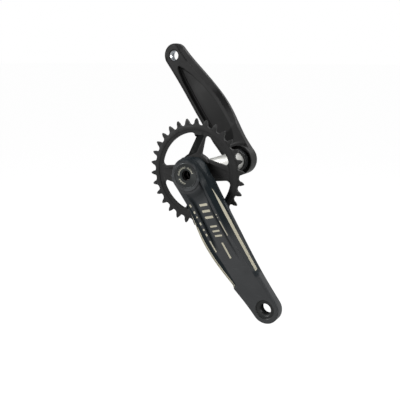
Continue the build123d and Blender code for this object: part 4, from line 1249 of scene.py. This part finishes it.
@dataclass
class Studio:
    """Camera, soft lamps, white surroundings and a pale floor."""

    camera_place: tuple[float, float, float] = (0.370124, -0.650825, 0.131608)
    camera_aim: tuple[float, float, float] = (-0.50398, 0.83338, -0.22690)
    lens: float = 54.63
    floor_height: float = -0.42
    fill: float = 0.035
    floor_size: float = 60.0
    floor_greys: tuple[float, float] = (0.43, 0.47)
    glow: float = 1.12
    glow_share: float = 0.88
    lamps: tuple[Lamp, ...] = (
        Lamp("key", (-1.25, -1.05, 0.75), 0.6, 46.0),
        Lamp("right", (1.4, -0.35, 0.5), 0.5, 21.0),
        Lamp("rim", (0.55, 1.0, 1.1), 0.8, 24.0))

    def build(self) -> None:
        """Set up the studio."""
        scene = bpy.context.scene
        scene.view_settings.view_transform = "Standard"
        data = bpy.data.cameras.new("camera")
        data.lens, data.sensor_width, data.clip_start = self.lens, 36.0, 0.01
        camera = bpy.data.objects.new("camera", data)
        camera.location = self.camera_place
        camera.rotation_euler = Vector(self.camera_aim).to_track_quat("-Z", "Y").to_euler()
        scene.collection.objects.link(camera)
        scene.camera = camera
        for lamp in self.lamps:
            lamp.build()
        self.surround(scene)
        self.floor()

    def seen(self, tree: Tree) -> Socket:
        """1 for camera, glossy and transmission rays, else 0."""
        path = tree.nodes.new("ShaderNodeLightPath").outputs
        both = maths(tree, "MAXIMUM", path["Is Camera Ray"], path["Is Glossy Ray"])
        return maths(tree, "MAXIMUM", both, path["Is Transmission Ray"])

    def surround(self, scene: bpy.types.Scene) -> None:
        """White surroundings that light the object only softly."""
        world = bpy.data.worlds.new("surroundings")
        world.use_nodes = True
        tree = world.node_tree
        background = tree.nodes["Background"]
        background.inputs["Color"].default_value = (1, 1, 1, 1)
        strength = maths(tree, "MULTIPLY_ADD", self.seen(tree), 1.0 - self.fill, self.fill)
        tree.links.new(strength, background.inputs["Strength"])
        scene.world = world

    def floor(self) -> None:
        """Pale floor that still takes the object's shadow."""
        bm = bmesh.new()
        bmesh.ops.create_grid(bm, x_segments=2, y_segments=2, size=self.floor_size)
        bmesh.ops.translate(bm, verts=bm.verts, vec=(0, 0, self.floor_height))
        sheet = finish_mesh(bm, "studio_floor")
        material = bpy.data.materials.new("pale floor")
        material.use_nodes = True
        tree = material.node_tree
        tree.nodes.clear()
        place = tree.nodes.new("ShaderNodeTexCoord").outputs["Object"]
        matte = tree.nodes.new("ShaderNodeBsdfDiffuse")
        dark, light = ((grey, grey, grey, 1) for grey in self.floor_greys)
        colour = mix(tree, noise(tree, place, 6.0, 3.0), dark, light)
        tree.links.new(colour, matte.inputs["Color"])
        glow = tree.nodes.new("ShaderNodeEmission")
        glow.inputs["Strength"].default_value = self.glow
        blend = tree.nodes.new("ShaderNodeMixShader")
        tree.links.new(maths(tree, "MULTIPLY", self.seen(tree), self.glow_share), blend.inputs["Fac"])
        tree.links.new(matte.outputs[0], blend.inputs[1])
        tree.links.new(glow.outputs[0], blend.inputs[2])
        output = tree.nodes.new("ShaderNodeOutputMaterial")
        tree.links.new(blend.outputs[0], output.inputs["Surface"])
        sheet.data.materials.append(material)


def main() -> None:
    """Build the crankset piece by piece, then the studio."""
    logging.basicConfig(level=logging.INFO, format="%(name)s: %(message)s")
    shop = Workshop(Effects.make())
    drive = CrankArm(Side.DRIVE, root_radius=21.0, rise=24.0, floor=52.0, crest_floor=70.9,
                     finish=DRIVE_FORGING, node="drive_arm")
    left = CrankArm(Side.LEFT, root_radius=20.4, rise=12.6, floor=63.1, crest_floor=75.9,
                    finish=LEFT_FORGING, node="left_arm", plain_shade=0.6,
                    ledge_depth=((14, 0.6), (48, 2.2), (100, 2.0), (142, 0.1)))
    drive.build(shop)
    left.build(shop)
    Chainring().build(shop)
    ExtractorCap().build(shop)
    Hardware().build(shop)
    Studio().build()
    log.info("%d pieces finished", len(shop.pieces))


if __name__ == "__main__":
    main()
